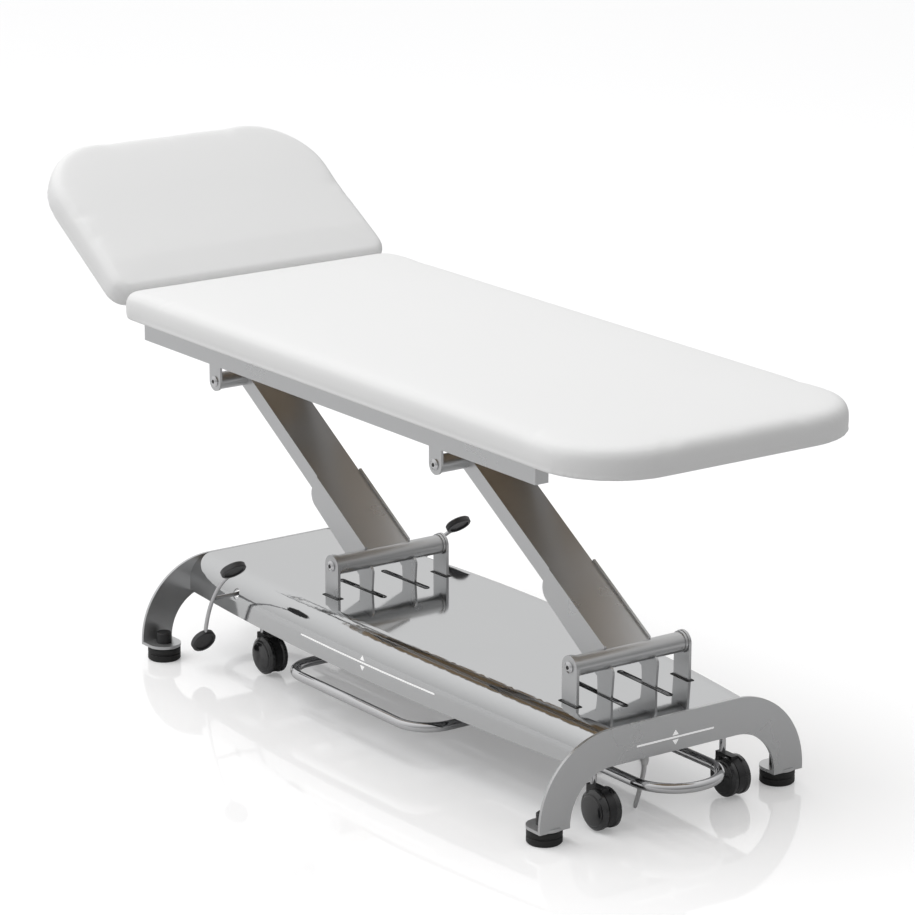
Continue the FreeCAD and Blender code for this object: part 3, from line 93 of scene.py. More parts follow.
def addNode(tree, kind, **values):
    node = tree.nodes.new(kind)
    for key, value in values.items():
        if key in node.inputs:
            node.inputs[key].default_value = value
        else:
            setattr(node, key, value)
    return node


def groupNode(tree, group, **values):
    node = tree.nodes.new("ShaderNodeGroup")
    node.node_tree = group
    for key, value in values.items():
        node.inputs[key.replace("_", " ")].default_value = value
    return node


# Slow drift of tone and roughness, with a fine grain for the bump
def buildSurfaceGroup():
    group = bpy.data.node_groups.new("surfaceVariation", "ShaderNodeTree")
    face = group.interface
    face.new_socket("Base", in_out="INPUT", socket_type="NodeSocketColor")
    for name in ("Tone Spread", "Roughness", "Roughness Spread", "Large Scale", "Fine Scale"):
        face.new_socket(name, in_out="INPUT", socket_type="NodeSocketFloat")
    face.new_socket("Colour", in_out="OUTPUT", socket_type="NodeSocketColor")
    for name in ("Roughness Out", "Grain"):
        face.new_socket(name, in_out="OUTPUT", socket_type="NodeSocketFloat")
    start = group.nodes.new("NodeGroupInput")
    end = group.nodes.new("NodeGroupOutput")
    place = group.nodes.new("ShaderNodeTexCoord")
    large = addNode(group, "ShaderNodeTexNoise", Detail=4.0, Roughness=0.55)
    fine = addNode(group, "ShaderNodeTexNoise", Detail=2.0, Roughness=0.5)
    link = group.links.new
    link(place.outputs["Object"], large.inputs["Vector"])
    link(place.outputs["Object"], fine.inputs["Vector"])
    link(start.outputs["Large Scale"], large.inputs["Scale"])
    link(start.outputs["Fine Scale"], fine.inputs["Scale"])
    centred = addNode(group, "ShaderNodeMath", operation="SUBTRACT")
    centred.inputs[1].default_value = 0.5
    link(large.outputs["Fac"], centred.inputs[0])
    tone = addNode(group, "ShaderNodeMath", operation="MULTIPLY_ADD")
    tone.inputs[2].default_value = 1.0
    link(centred.outputs[0], tone.inputs[0])
    link(start.outputs["Tone Spread"], tone.inputs[1])
    scaled = addNode(group, "ShaderNodeVectorMath", operation="SCALE")
    link(start.outputs["Base"], scaled.inputs[0])
    link(tone.outputs[0], scaled.inputs["Scale"])
    rough = addNode(group, "ShaderNodeMath", operation="MULTIPLY_ADD")
    link(centred.outputs[0], rough.inputs[0])
    link(start.outputs["Roughness Spread"], rough.inputs[1])
    link(start.outputs["Roughness"], rough.inputs[2])
    link(scaled.outputs[0], end.inputs["Colour"])
    link(rough.outputs[0], end.inputs["Roughness Out"])
    link(fine.outputs["Fac"], end.inputs["Grain"])
    return group


surfaceGroup = buildSurfaceGroup()


plainLook = {"toneSpread": 0.06, "roughnessSpread": 0.06, "largeScale": 6.0, "fineScale": 900.0,
             "bump": 0.1, "bumpDepth": 0.0002, "metallic": 0.0, "paintedGlow": 0.0,
             "coat": 0.0, "coatRoughness": 0.1, "specular": 0.5}


# A look is given as its differences from the plain one
def finishMaterial(name, differences):
    look = {**plainLook, **differences}
    material, tree, shader = newMaterial(name)
    base = groupNode(tree, surfaceGroup, Base=(*look["colour"], 1), Tone_Spread=look["toneSpread"],
                     Roughness=look["roughness"], Roughness_Spread=look["roughnessSpread"],
                     Large_Scale=look["largeScale"], Fine_Scale=look["fineScale"])
    tree.links.new(base.outputs["Colour"], shader.inputs["Base Color"])
    tree.links.new(base.outputs["Roughness Out"], shader.inputs["Roughness"])
    bump = addNode(tree, "ShaderNodeBump", Strength=look["bump"], Distance=look["bumpDepth"])
    tree.links.new(base.outputs["Grain"], bump.inputs["Height"])
    tree.links.new(bump.outputs["Normal"], shader.inputs["Normal"])
    shader.inputs["Metallic"].default_value = look["metallic"]
    # Emission paints light into a finish: a painted glow, set above zero only for the marks
    shader.inputs["Emission Color"].default_value = (1, 1, 1, 1)
    shader.inputs["Emission Strength"].default_value = look["paintedGlow"]
    shader.inputs["Coat Weight"].default_value = look["coat"]
    shader.inputs["Coat Roughness"].default_value = look["coatRoughness"]
    shader.inputs["Specular IOR Level"].default_value = look["specular"]
    return material


finishes = {
    "frameSilver": {"colour": (0.58, 0.585, 0.59), "roughness": 0.28, "metallic": 0.82,
                    "bump": 0.12, "fineScale": 1500.0, "toneSpread": 0.05},
    "coverSilver": {"colour": (0.59, 0.595, 0.60), "roughness": 0.07, "roughnessSpread": 0.03,
                    "metallic": 1.0, "bump": 0.02, "fineScale": 1200.0, "toneSpread": 0.03},
    "chrome": {"colour": (0.62, 0.62, 0.63), "roughness": 0.07, "roughnessSpread": 0.03,
               "metallic": 1.0, "bump": 0.01, "toneSpread": 0.02},
    "zincSteel": {"colour": (0.5, 0.5, 0.51), "roughness": 0.34, "metallic": 1.0,
                  "bump": 0.2, "fineScale": 700.0, "toneSpread": 0.2, "largeScale": 40.0},
    "blackPlastic": {"colour": (0.018, 0.018, 0.019), "roughness": 0.38, "bump": 0.25,
                     "fineScale": 1600.0},
    "blackRubber": {"colour": (0.016, 0.016, 0.016), "roughness": 0.55, "bump": 0.4,
                    "fineScale": 1300.0, "toneSpread": 0.2},
    "treadRubber": {"colour": (0.02, 0.02, 0.021), "roughness": 0.26, "coat": 0.5, "bump": 0.2,
                    "fineScale": 1100.0},
    "hubGloss": {"colour": (0.012, 0.012, 0.013), "roughness": 0.1, "coat": 0.6, "bump": 0.02},
    "pedalGrey": {"colour": (0.06, 0.06, 0.062), "roughness": 0.42, "bump": 0.3, "fineScale": 1400.0},
    "cordGrey": {"colour": (0.72, 0.72, 0.72), "roughness": 0.42, "bump": 0.15},
    # The marks are white paint with a painted glow, which lifts them brighter than the lamps light them
    "markWhiteAndPaintedGlow": {"colour": (0.9, 0.9, 0.9), "roughness": 0.4, "bump": 0.05, "paintedGlow": 0.3},
    # Black for the trims round the slots, and painted shade for the hollows of the screw sockets
    "trimBlackAndSocketShade": {"colour": (0.012, 0.012, 0.012), "roughness": 0.5},
}
materials = {name: finishMaterial(name, look) for name, look in finishes.items()}


# Synthetic leather: pebbles over a finer crease, and a soft sheen
def leatherMaterial(name, look):
    material, tree, shader = newMaterial(name)
    link = tree.links.new
    base = groupNode(tree, surfaceGroup, Base=(*look["colour"], 1), Tone_Spread=look["toneSpread"],
                     Roughness=look["roughness"], Roughness_Spread=look["roughnessSpread"],
                     Large_Scale=look["largeScale"], Fine_Scale=look["creaseScale"])
    link(base.outputs["Colour"], shader.inputs["Base Color"])
    link(base.outputs["Roughness Out"], shader.inputs["Roughness"])
    place = tree.nodes.new("ShaderNodeTexCoord")
    pebbles = addNode(tree, "ShaderNodeTexVoronoi", Scale=look["pebbleScale"])
    pebbles.feature = "SMOOTH_F1"
    link(place.outputs["Object"], pebbles.inputs["Vector"])
    mixed = addNode(tree, "ShaderNodeMath", operation="MULTIPLY_ADD")
    mixed.inputs[1].default_value = look["pebbleShare"]
    link(pebbles.outputs["Distance"], mixed.inputs[0])
    link(base.outputs["Grain"], mixed.inputs[2])
    bump = addNode(tree, "ShaderNodeBump", Strength=look["bump"], Distance=look["bumpDepth"])
    link(mixed.outputs[0], bump.inputs["Height"])
    link(bump.outputs["Normal"], shader.inputs["Normal"])
    shader.inputs["Coat Weight"].default_value = look["coat"]
    shader.inputs["Coat Roughness"].default_value = look["coatRoughness"]
    shader.inputs["Sheen Weight"].default_value = look["sheen"]
    return material


leather = {"colour": (0.79, 0.79, 0.788), "toneSpread": 0.02, "largeScale": 3.0,
           "roughness": 0.5, "roughnessSpread": 0.08, "coat": 0.08, "coatRoughness": 0.35, "sheen": 0.05,
           "bump": 0.12, "bumpDepth": 0.0003, "pebbleScale": 900.0, "pebbleShare": 0.6,
           "creaseScale": 240.0}
materials["whiteLeather"] = leatherMaterial("whiteLeather", leather)


# Birch plywood: long grain along the board
def plywoodMaterial(name, look):
    material, tree, shader = newMaterial(name)
    link = tree.links.new
    place = tree.nodes.new("ShaderNodeTexCoord")
    stretch = addNode(tree, "ShaderNodeMapping")
    stretch.inputs["Scale"].default_value = look["stretch"]
    grain = addNode(tree, "ShaderNodeTexNoise", Scale=look["grainScale"], Detail=6.0, Roughness=0.6)
    ramp = tree.nodes.new("ShaderNodeValToRGB")
    for stop, (position, colour) in zip(ramp.color_ramp.elements, look["tones"]):
        stop.position = position
        stop.color = (*colour, 1)
    bump = addNode(tree, "ShaderNodeBump", Strength=look["bump"], Distance=look["bumpDepth"])
    link(place.outputs["Object"], stretch.inputs["Vector"])
    link(stretch.outputs["Vector"], grain.inputs["Vector"])
    link(grain.outputs["Fac"], ramp.inputs["Fac"])
    link(ramp.outputs["Color"], shader.inputs["Base Color"])
    link(grain.outputs["Fac"], bump.inputs["Height"])
    link(bump.outputs["Normal"], shader.inputs["Normal"])
    shader.inputs["Roughness"].default_value = look["roughness"]
    return material


plywood = {"stretch": (1.0, 14.0, 14.0), "grainScale": 6.0, "roughness": 0.6,
           "tones": ((0.3, (0.42, 0.29, 0.17)), (0.7, (0.6, 0.46, 0.3))),
           "bump": 0.15, "bumpDepth": 0.0003}
materials["plywood"] = plywoodMaterial("plywood", plywood)


def fourOf(stem):
    return ["%s_%d" % (stem, number) for number in range(1, 5)]


nodeFinish = {
    "frameSilver": ["base_frame", "head_arch", "foot_arch", "lower_lugs", "upper_lugs", "head_arm",
                    "foot_arm", "head_side_plates", "foot_side_plates", "top_rails", "top_bearers",
                    "head_frame", "hinge_brackets", "rail_caps"],
    "coverSilver": ["base_cover"],
    "chrome": ["lower_pivot_screws", "upper_pivot_screws", "pedal_rods", "foot_bar",
               "castor_stems_head", "castor_stems_foot"],
    "zincSteel": ["crank_link", "lift_rod", "pedal_shaft", "follower_shaft", "castor_tie_bar",
                  "head_castor_beam", "foot_castor_beam", "release_bar"],
    "cordGrey": ["cord_gland"],
    "blackPlastic": ["control_box", "lift_motor", "mains_plug", *fourOf("castor_hood"),
                     *fourOf("foot_knob")],
    "blackRubber": fourOf("foot_pad"),
    "treadRubber": fourOf("castor_wheels"),
    "pedalGrey": ["pedal_pads"],
    "plywood": ["main_board", "head_board"],
}


def dressNode(node, finish):
    data = cadNodes[node].data
    data.materials.clear()
    data.materials.append(materials[finish])


for finish, members in nodeFinish.items():
    for member in members:
        dressNode(member, finish)
print("materials ready:", len(materials))


# Mesh helpers
def meshObject(name, vertices, faces, finish, smooth=True):
    data = bpy.data.meshes.new(name)
    data.from_pydata([tuple(v) for v in vertices], [], faces)
    data.validate()
    shape = bmesh.new()
    shape.from_mesh(data)
    bmesh.ops.remove_doubles(shape, verts=shape.verts, dist=1e-6)
    bmesh.ops.recalc_face_normals(shape, faces=shape.faces)
    shape.to_mesh(data)
    shape.free()
    if smooth:
        data.polygons.foreach_set("use_smooth", [True] * len(data.polygons))
    data.materials.append(materials[finish])
    piece = bpy.data.objects.new(name, data)
    scene.collection.objects.link(piece)
    return piece


def ringFaces(rows, count, closedEnds=True):
    faces = []
    for r in range(rows - 1):
        for i in range(count):
            j = (i + 1) % count
            faces.append((r * count + i, r * count + j, (r + 1) * count + j, (r + 1) * count + i))
    if closedEnds:
        faces.append(tuple(reversed(range(count))))
        faces.append(tuple((rows - 1) * count + i for i in range(count)))
    return faces


# Points round a box with rounded corners, symmetric about y = 0, from the high end on
def roundedOutline(low, high, half, lowRadius, highRadius, steps):
    points = []
    corners = ((high - highRadius, half - highRadius, highRadius, 0),
               (low + lowRadius, half - lowRadius, lowRadius, 90),
               (low + lowRadius, lowRadius - half, lowRadius, 180),
               (high - highRadius, highRadius - half, highRadius, 270))
    for x, y, radius, start in corners:
        centre = Vector((x, y))
        for i in range(steps + 1):
            angle = math.radians(start + 90 * i / steps)
            points.append((centre.x + radius * math.cos(angle), centre.y + radius * math.sin(angle)))
    return points


def applyModifiers(piece):
    graph = bpy.context.evaluated_depsgraph_get()
    data = bpy.data.meshes.new_from_object(piece.evaluated_get(graph))
    old = piece.data
    piece.modifiers.clear()
    piece.data = data
    bpy.data.meshes.remove(old)


# Mains lead
cordShape = {
    "diameter": 0.007,
    "route": [(0.653, -0.057, 0.106), (0.653, -0.057, 0.096), (0.649, -0.058, 0.080),
              (0.640, -0.057, 0.052), (0.626, -0.052, 0.026), (0.610, -0.044, 0.008),
              (0.587, -0.025, 0.0035), (0.549, 0.012, 0.0035), (0.493, 0.064, 0.0035),
              (0.433, 0.119, 0.0035), (0.372, 0.155, 0.0035), (0.313, 0.162, 0.0035),
              (0.262, 0.158, 0.0035)],
    "tail": [(0.190, 0.1465, 0.0175), (0.163, 0.1475, 0.0160), (0.141, 0.148, 0.013),
             (0.118, 0.148, 0.013)],
    "coil": {"centre": (0.215, 0.110), "perTurn": 16, "turns": 6, "layer": 2, "climb": 0.2,
             "outer": 0.049, "inner": 0.0348, "upperOuter": 0.0488},
    "length": 2.27,
}


# The turns wind inwards on the floor, outwards on those, and inwards again on top
def coilPoints(coil, across):
    points = []
    layer, climb = coil["layer"], coil["climb"]
    second = layer + climb
    third = 2 * second
    grow = 1 / math.cos(math.pi / coil["perTurn"])
    for i in range(coil["perTurn"] * coil["turns"] + 1):
        turn = i / coil["perTurn"]
        if turn < layer:
            radius, height = coil["outer"] - across * turn, 0.0
        elif turn < second:
            radius, height = coil["inner"], (turn - layer) / climb
        elif turn < second + layer:
            radius, height = coil["inner"] + across * (turn - second), 1.0
        elif turn < third:
            radius, height = coil["upperOuter"], 1 + (turn - second - layer) / climb
        else:
            radius, height = coil["upperOuter"] - across * (turn - third), 2.0
        angle = math.pi / 2 + turn * 2 * math.pi
        points.append((coil["centre"][0] + radius * grow * math.cos(angle),
                       coil["centre"][1] + radius * grow * math.sin(angle), across * (0.5 + height)))
    return points


def buildCord(c):
    data = bpy.data.curves.new("mainsLead", "CURVE")
    data.dimensions = "3D"
    data.bevel_depth = c["diameter"] / 2
    data.bevel_resolution = 5
    data.resolution_u = 6
    data.use_fill_caps = True
    points = c["route"] + coilPoints(c["coil"], c["diameter"]) + c["tail"]
    spline = data.splines.new("NURBS")
    spline.points.add(len(points) - 1)
    for point, place in zip(spline.points, points):
        point.co = (*place, 1)
    spline.order_u = 3
    spline.use_endpoint_u = True
    data.materials.append(materials["cordGrey"])
    lead = bpy.data.objects.new("mainsLead", data)
    scene.collection.objects.link(lead)
    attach(lead, "base")
    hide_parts("mains_cord", "cord_coil")


buildCord(cordShape)
print("lead laid")

# Cushions, with the head cushion given flat and turned about the seam
seam = {"axisX": -0.673, "axisZ": 0.7359, "tilt": 32.4}
mainPad = {"name": "mainCushion", "node": "main_cushion", "body": "top", "seamSide": "low",
           "low": -0.696, "high": 0.840, "half": 0.325, "bottom": 0.7059,
           "lowRadius": 0.040, "highRadius": 0.155, "recess": 0.007}
headPad = {"name": "headCushion", "node": "head_cushion", "body": "backrest", "seamSide": "high",
           "low": -0.445, "high": -0.024, "half": 0.325, "bottom": -0.038,
           "lowRadius": 0.155, "highRadius": 0.040, "recess": 0.015}
padding = {"thick": 0.053, "edge": 0.023, "foot": 0.006, "start": -0.0035, "lip": 0.032,
           "lipWide": 0.006, "lipDrop": 0.0015, "bulge": -0.0006, "bulgeShare": 0.32, "crown": 0.003,
           "crownRings": ((0.060, 0.5), (0.110, 0.85), (0.150, 1.0)), "leastRadius": 0.002,
           "footSteps": 4, "edgeSteps": 8, "cornerSteps": 14, "seamShare": 0.8, "seamGap": 0.0003}
swelling = {"voxel": 0.0065, "relaxFactor": 0.5, "relaxSteps": 4, "frames": 20, "cap": 0.004,
            "stillBelow": 0.004, "seamCap": 0.0004, "seamNear": 0.025, "seamFar": 0.08,
            "cloth": {"quality": 4, "mass": 0.3, "tension_stiffness": 25, "compression_stiffness": 25,
                      "bending_stiffness": 4, "use_pressure": True, "uniform_pressure_force": 4.0}}


# Rings from the recess of the board over the lip and the rounded edge to the crowned middle
def padRings(p, c):
    start, edge, foot, thick = c["start"], c["edge"], c["foot"], c["thick"]
    rings = [(c["lip"] + c["lipWide"], p["recess"]), (c["lip"], -c["lipDrop"]), (foot, -c["lipDrop"])]
    for i in range(1, c["footSteps"] + 1):
        angle = math.pi / 2 * i / c["footSteps"]
        rings.append((foot - foot * math.sin(angle), foot - foot * math.cos(angle)))
    rings.append((c["bulge"], thick * c["bulgeShare"]))
    for i in range(c["edgeSteps"] + 1):
        angle = math.pi / 2 * i / c["edgeSteps"]
        rings.append((edge - edge * math.cos(angle), thick - edge + edge * math.sin(angle)))
    rings += [(inset, thick + c["crown"] * share) for inset, share in c["crownRings"]]
    vertices = []
    for inset, height in rings:
        seamInset = max(inset, 0.0) * c["seamShare"] + c["seamGap"]
        low = p["low"] + (seamInset if p["seamSide"] == "low" else inset + start)
        high = p["high"] - (seamInset if p["seamSide"] == "high" else inset + start)
        lowRadius = max(p["lowRadius"] - inset, c["leastRadius"])
        highRadius = max(p["highRadius"] - inset, c["leastRadius"])
        outline = roundedOutline(low, high, p["half"] - inset - start, lowRadius, highRadius,
                                 c["cornerSteps"])
        vertices += [(x, y, p["bottom"] + height) for x, y in outline]
    return vertices, ringFaces(len(rings), len(outline))


# How far the air pressure may move a point: not at all underneath, and hardly at all at the seam
def swellRoom(place, p, c):
    if place.z < p["bottom"] + c["stillBelow"]:
        return 0.0
    away = abs(place.x - p[p["seamSide"]])
    if away >= c["seamFar"]:
        return c["cap"]
    share = max(0.0, away - c["seamNear"]) / (c["seamFar"] - c["seamNear"])
    return c["seamCap"] + (c["cap"] - c["seamCap"]) * share


def swell(piece, p, c):
    remesh = piece.modifiers.new("evenMesh", "REMESH")
    remesh.mode = "VOXEL"
    remesh.voxel_size = c["voxel"]
    applyModifiers(piece)
    smooth = piece.modifiers.new("relax", "SMOOTH")
    smooth.factor = c["relaxFactor"]
    smooth.iterations = c["relaxSteps"]
    applyModifiers(piece)
    rest = [v.co.copy() for v in piece.data.vertices]
    cloth = piece.modifiers.new("airPressure", "CLOTH")
    for key, value in c["cloth"].items():
        setattr(cloth.settings, key, value)
    cloth.settings.effector_weights.gravity = 0
    cloth.point_cache.frame_start = 1
    cloth.point_cache.frame_end = c["frames"]
    for number in range(1, c["frames"] + 1):
        scene.frame_set(number)
    applyModifiers(piece)
    scene.frame_set(1)
    for vertex, before in zip(piece.data.vertices, rest):
        shift = vertex.co - before
        room = swellRoom(before, p, c)
        if shift.length > room:
            shift = shift * (room / shift.length)
        vertex.co = before + shift
    finer = piece.modifiers.new("finer", "SUBSURF")
    finer.levels = finer.render_levels = 1
    applyModifiers(piece)
    piece.data.polygons.foreach_set("use_smooth", [True] * len(piece.data.polygons))


def buildPad(p):
    vertices, faces = padRings(p, padding)
    piece = meshObject(p["name"], vertices, faces, "whiteLeather")
    swell(piece, p, swelling)
    if p["body"] == "backrest":
        turn = Matrix.Rotation(math.radians(seam["tilt"]), 4, "Y")
        piece.data.transform(Matrix.Translation((seam["axisX"], 0, seam["axisZ"])) @ turn)
    piece.data.materials.clear()
    piece.data.materials.append(materials["whiteLeather"])
    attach(piece, p["body"])
    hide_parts(p["node"])


for pad in (mainPad, headPad):
    buildPad(pad)
    print("cushion ready:", pad["name"])

# Markers on the cover and the foot arch: a line with an up sign and a down sign, in white paint with a
# painted glow
marks = {
    "sideMark": {"node": "base_cover", "along": (1, 0, 0), "towards": (0, 1, 0), "start": 0.5,
                 "low": -0.211, "high": 0.232, "parts": 60, "level": 0.155,
                 "sign": 0.003, "signLevels": {"Up": 0.1648, "Down": 0.1440}},
    "endMark": {"node": "foot_arch", "along": (0, 1, 0), "towards": (-1, 0, 0), "start": 1.0,
                "low": -0.088, "high": 0.090, "parts": 1, "level": 0.151,
                "sign": 0.001, "signLevels": {"Up": 0.1600, "Down": 0.1415}},
}
paint = {"width": 0.0032, "signHalf": 0.0070, "signTall": 0.0095, "signSteps": (0.0, 0.5, 0.985),
         "lift": 0.0003}


def surfaceOf(node):
    return BVHTree.FromPolygons([v.co for v in cadNodes[node].data.vertices],
                                [tuple(p.vertices) for p in cadNodes[node].data.polygons])


# A thin film of paint: a grid of places on the surface, raised by the lift, closed underneath
def film(name, surface, grid, m):
    rows, count = len(grid), len(grid[0])
    towards = Vector(m["towards"])
    top, under = [], []
    for row in grid:
        for place in row:
            hit, normal, _, _ = surface.ray_cast(place - towards * m["start"], towards)
            if normal.dot(towards) > 0:
                normal = -normal
            top.append(hit + normal * paint["lift"])
            under.append(hit - normal * paint["lift"])
    faces = []
    size = rows * count
    for r in range(rows - 1):
        for i in range(count - 1):
            a, b = r * count + i, (r + 1) * count + i
            faces.append((a, a + 1, b + 1, b))
            faces.append((size + a, size + b, size + b + 1, size + a + 1))
    edge = list(range(count)) + [r * count + count - 1 for r in range(1, rows)]
    edge += [(rows - 1) * count + i for i in range(count - 2, -1, -1)]
    edge += [r * count for r in range(rows - 2, 0, -1)]
    for a, b in zip(edge, edge[1:] + edge[:1]):
        faces.append((a, b, size + b, size + a))
    # The film is white paint with a painted glow
    piece = meshObject(name, top + under, faces, "markWhiteAndPaintedGlow", smooth=False)
    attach(piece, "base")


def buildMarker(name, m):
    surface = surfaceOf(m["node"])
    along = Vector(m["along"])

    def place(distance, level):
        return along * distance + Vector((0, 0, level))

    steps = [m["low"] + (m["high"] - m["low"]) * i / m["parts"] for i in range(m["parts"] + 1)]
    levels = [m["level"] + side * paint["width"] / 2 for side in (-1, 1)]
    film(name + "Line", surface, [[place(step, level) for step in steps] for level in levels], m)
    for sign, middle in m["signLevels"].items():
        upward = 1 if sign == "Up" else -1
        grid = []
        for share in paint["signSteps"]:
            level = middle + upward * paint["signTall"] * (share - 0.5)
            half = paint["signHalf"] * (1 - share)
            grid.append([place(m["sign"] - half, level), place(m["sign"] + half, level)])
        film(name + sign, surface, grid, m)


for name, mark in marks.items():
    buildMarker(name, mark)

# Black trims round the slots and lug openings of the cover
trim = {"inner": 0.0004, "crest": 0.0010, "ease": 0.0003, "tall": 0.0009, "sink": 0.0008,
        "innerShare": 0.7, "outerShare": 0.6, "cornerSteps": 6,
        "slotY": 0.0515, "slotHalf": 0.0055, "slotWide": 0.0012,
        "lugY": 0.130, "lugHalfX": 0.025, "lugHalfY": 0.006, "lugRadius": 0.0012, "lugWide": 0.0026,
        "probe": 0.004, "probeTop": 0.4, "usualLevel": 0.2}
crank = {"pivotZ": 0.2706, "coverZ": 0.1955, "half": 0.028, "play": 0.003, "back": 35, "ahead": 23}
pivotX = {"head": -0.236, "foot": 0.526}


def loopPoints(low, high, half, middle, radius):
    outline = roundedOutline(low, high, half, radius, radius, trim["cornerSteps"])
    return [Vector((x, y + middle, 0)) for x, y in outline]


# How far the crank dips past its pivot at the height of the cover, for a swing in degrees
def slotReach(swing):
    angle = math.radians(swing)
    drop = crank["pivotZ"] - crank["coverZ"]
    return drop * math.tan(angle) + crank["half"] / math.cos(angle) + crank["play"]


def trimRows(surface, points, wide):
    count = len(points)
    section = ((trim["inner"], -trim["sink"]), (trim["inner"], trim["tall"] * trim["innerShare"]),
               (trim["crest"], trim["tall"]),
               (wide - trim["ease"], trim["tall"] * trim["outerShare"]), (wide, -trim["sink"]))
    rows = []
    for outward, height in section:
        row = []
        for i, point in enumerate(points):
            side = (points[(i + 1) % count] - points[i - 1]).normalized()
            out = Vector((side.y, -side.x, 0))
            beside = point + out * trim["probe"]
            above = Vector((beside.x, beside.y, trim["probeTop"]))
            hit, _, _, _ = surface.ray_cast(above, Vector((0, 0, -1)))
            level = hit.z if hit is not None else trim["usualLevel"]
            place = point + out * outward
            row.append((place.x, place.y, level + height))
        rows.append(row)
    return rows


def buildTrims():
    surface = surfaceOf("base_cover")
    back, ahead = slotReach(crank["back"]), slotReach(crank["ahead"])
    vertices, faces = [], []
    for x in pivotX.values():
        for side in (-1, 1):
            slot = loopPoints(x - back, x + ahead, trim["slotHalf"], trim["slotY"] * side,
                              trim["slotHalf"])
            lug = loopPoints(x - trim["lugHalfX"], x + trim["lugHalfX"], trim["lugHalfY"],
                             trim["lugY"] * side, trim["lugRadius"])
            for points, wide in ((slot, trim["slotWide"]), (lug, trim["lugWide"])):
                rows = trimRows(surface, points, wide)
                base = len(vertices)
                count = len(points)
                for row in rows:
                    vertices.extend(row)
                for r in range(len(rows)):
                    this, following = base + r * count, base + (r + 1) % len(rows) * count
                    for i in range(count):
                        j = (i + 1) % count
                        faces.append((this + i, this + j, following + j, following + i))
    piece = meshObject("slotTrims", vertices, faces, "trimBlackAndSocketShade")
    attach(piece, "base")


buildTrims()
print("markers and trims ready")

# Hub caps on the castor wheels, one lathe profile
hub = {"profile": [(0.0004, 0.0019), (0.0270, 0.0018), (0.0288, 0.0012), (0.0296, 0.0002),
                   (0.0296, -0.0006)],
       "segments": 48}


def latheRings(profile, segments, centre, axis, side):
    vertices = []
    across = Vector((1, 0, 0))
    up = axis.cross(across)
    for radius, height in profile:
        for i in range(segments):
            angle = 2 * math.pi * i / segments
            spoke = across * math.cos(angle) + up * math.sin(angle)
            vertices.append(centre + axis * height * side + spoke * radius)
    return vertices


def buildHubs():
    ringSet = ringFaces(len(hub["profile"]), hub["segments"])
    for number in range(1, 5):
        low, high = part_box("castor_wheels_%d" % number)
        middle = (low + high) / 2
        vertices, faces = [], []
        for side, outside in ((-1, low.y), (1, high.y)):
            base = len(vertices)
            centre = Vector((middle.x, outside, middle.z))
            vertices += latheRings(hub["profile"], hub["segments"], centre, Vector((0, 1, 0)), side)
            faces += [tuple(base + k for k in face) for face in ringSet]
        piece = meshObject("hubCaps%d" % number, vertices, faces, "hubGloss")
        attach(piece, "wheels_%d" % number)


buildHubs()
print("castor hubs ready")

# Hexagon sockets in the pivot screws, set out by geometry nodes: flat black hexagons on the chrome screw
# heads, painted shade standing in for the dark hollow of each socket
socket = {"radius": 0.0042, "deep": 0.0006, "proud": 0.0049}
screws = {"lowerSockets": {"body": "base", "outer": 0.133, "z": crank["pivotZ"], "shift": 0.0},
          "upperSockets": {"body": "top", "outer": 0.116, "z": 0.5469, "shift": 0.4405}}


def socketTree():
    tree = bpy.data.node_groups.new("screwSockets", "GeometryNodeTree")
    tree.interface.new_socket("Geometry", in_out="INPUT", socket_type="NodeSocketGeometry")
    for name, value in (("Radius", socket["radius"]), ("Depth", socket["deep"])):
        size = tree.interface.new_socket(name, in_out="INPUT", socket_type="NodeSocketFloat")
        size.default_value = value
    tree.interface.new_socket("Geometry", in_out="OUTPUT", socket_type="NodeSocketGeometry")
    start = tree.nodes.new("NodeGroupInput")
    end = tree.nodes.new("NodeGroupOutput")
    prism = tree.nodes.new("GeometryNodeMeshCylinder")
    prism.inputs["Vertices"].default_value = 6
    facing = tree.nodes.new("FunctionNodeAlignRotationToVector")
    facing.axis = "Z"
    normal = tree.nodes.new("GeometryNodeInputNamedAttribute")
    normal.data_type = "FLOAT_VECTOR"
    normal.inputs["Name"].default_value = "facing"
    spread = tree.nodes.new("GeometryNodeInstanceOnPoints")
    real = tree.nodes.new("GeometryNodeRealizeInstances")
    # The black on the hexagons is painted shade for the hollow of the socket
    black = tree.nodes.new("GeometryNodeSetMaterial")
    black.inputs["Material"].default_value = materials["trimBlackAndSocketShade"]
    link = tree.links.new
    link(start.outputs["Radius"], prism.inputs["Radius"])
    link(start.outputs["Depth"], prism.inputs["Depth"])
    link(start.outputs["Geometry"], spread.inputs["Points"])
    link(prism.outputs["Mesh"], spread.inputs["Instance"])
    link(normal.outputs["Attribute"], facing.inputs["Vector"])
    link(facing.outputs["Rotation"], spread.inputs["Rotation"])
    link(spread.outputs["Instances"], real.inputs["Geometry"])
    link(real.outputs["Geometry"], black.inputs["Geometry"])
    link(black.outputs["Geometry"], end.inputs["Geometry"])
    return tree


def buildSockets():
    tree = socketTree()
    for name, s in screws.items():
        data = bpy.data.meshes.new(name)
        places, facing = [], []
        for x in pivotX.values():
            for side in (-1, 1):
                places.append((x - s["shift"], side * (s["outer"] + socket["proud"]), s["z"]))
                facing.append((0.0, side, 0.0))
        data.from_pydata(places, [], [])
        attribute = data.attributes.new("facing", "FLOAT_VECTOR", "POINT")
        for item, value in zip(attribute.data, facing):
            item.vector = value
        piece = bpy.data.objects.new(name, data)
        scene.collection.objects.link(piece)
        modifier = piece.modifiers.new("screwSockets", "NODES")
        modifier.node_group = tree
        applyModifiers(piece)
        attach(piece, s["body"])


buildSockets()
print("screw sockets ready")

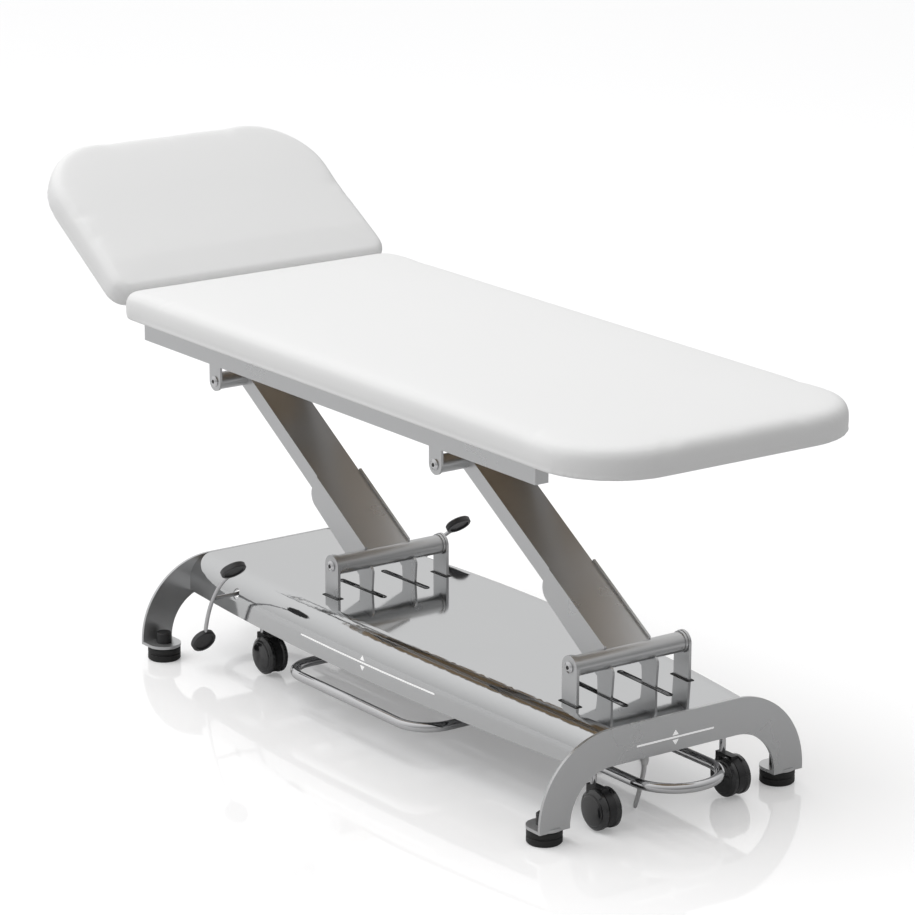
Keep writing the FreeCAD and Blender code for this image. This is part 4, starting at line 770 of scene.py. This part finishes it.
# Floor, lamp and world
studio = {"floorColour": (0.9, 0.9, 0.905), "floorRoughness": 0.05, "floorSpecular": 0.6,
          "floorSize": 60.0, "floorLift": 0.235, "bounceShare": 0.74,
          "key": {"place": (-1.6, -2.2, 5.0), "aim": (0, 0, 0.45), "size": 6.0, "power": 150},
          "world": {"middle": 0.58, "towardsX": -0.36, "upwards": 0.58}}


# The floor looks lighter to the camera than to the other rays, so that it is white but keeps its shadow
def floorMaterial():
    material, tree, shader = newMaterial("studioFloor")
    shader.inputs["Roughness"].default_value = studio["floorRoughness"]
    shader.inputs["Specular IOR Level"].default_value = studio["floorSpecular"]
    shader.inputs["Emission Color"].default_value = (1, 1, 1, 1)
    path = tree.nodes.new("ShaderNodeLightPath")
    lift = addNode(tree, "ShaderNodeMath", operation="MULTIPLY")
    lift.inputs[1].default_value = studio["floorLift"]
    tree.links.new(path.outputs["Is Camera Ray"], lift.inputs[0])
    tree.links.new(lift.outputs[0], shader.inputs["Emission Strength"])
    tone = addNode(tree, "ShaderNodeMix", data_type="RGBA")
    bright = Vector(studio["floorColour"])
    tone.inputs[6].default_value = (*(bright * studio["bounceShare"]), 1)
    tone.inputs[7].default_value = (*bright, 1)
    tree.links.new(path.outputs["Is Camera Ray"], tone.inputs[0])
    tree.links.new(tone.outputs[2], shader.inputs["Base Color"])
    return material


def buildStudio():
    data = bpy.data.meshes.new("studioFloor")
    half = studio["floorSize"] / 2
    corners = [(-half, -half, 0), (half, -half, 0), (half, half, 0), (-half, half, 0)]
    data.from_pydata(corners, [], [(0, 1, 2, 3)])
    data.materials.append(floorMaterial())
    floor = bpy.data.objects.new("studioFloor", data)
    scene.collection.objects.link(floor)
    lamp = studio["key"]
    light = bpy.data.lights.new("keyLamp", "AREA")
    light.shape = "SQUARE"
    light.size = lamp["size"]
    light.energy = lamp["power"]
    holder = bpy.data.objects.new("keyLamp", light)
    place = Vector(lamp["place"])
    aim = (Vector(lamp["aim"]) - place).normalized()
    holder.matrix_world = Matrix.Translation(place) @ aim.to_track_quat("-Z", "Y").to_matrix().to_4x4()
    scene.collection.objects.link(holder)
    holder.visible_glossy = False
    world = bpy.data.worlds.new("studioWorld")
    world.use_nodes = True
    tree = world.node_tree
    tree.nodes.clear()
    link = tree.links.new
    out = tree.nodes.new("ShaderNodeOutputWorld")
    soft = tree.nodes.new("ShaderNodeBackground")
    seen = addNode(tree, "ShaderNodeBackground", Strength=1.0)
    seen.inputs["Color"].default_value = (1, 1, 1, 1)
    mix = tree.nodes.new("ShaderNodeMixShader")
    path = tree.nodes.new("ShaderNodeLightPath")
    place = tree.nodes.new("ShaderNodeTexCoord")
    split = tree.nodes.new("ShaderNodeSeparateXYZ")
    across = addNode(tree, "ShaderNodeMath", operation="MULTIPLY_ADD")
    across.inputs[1].default_value = studio["world"]["towardsX"]
    across.inputs[2].default_value = studio["world"]["middle"]
    upwards = addNode(tree, "ShaderNodeMath", operation="MULTIPLY_ADD")
    upwards.inputs[1].default_value = studio["world"]["upwards"]
    link(place.outputs["Generated"], split.inputs[0])
    link(split.outputs["X"], across.inputs[0])
    link(split.outputs["Z"], upwards.inputs[0])
    link(across.outputs[0], upwards.inputs[2])
    link(upwards.outputs[0], soft.inputs["Strength"])
    link(path.outputs["Is Camera Ray"], mix.inputs["Fac"])
    link(soft.outputs[0], mix.inputs[1])
    link(seen.outputs[0], mix.inputs[2])
    link(mix.outputs[0], out.inputs["Surface"])
    scene.world = world
    scene.view_settings.view_transform = "Standard"


buildStudio()
print("studio ready")
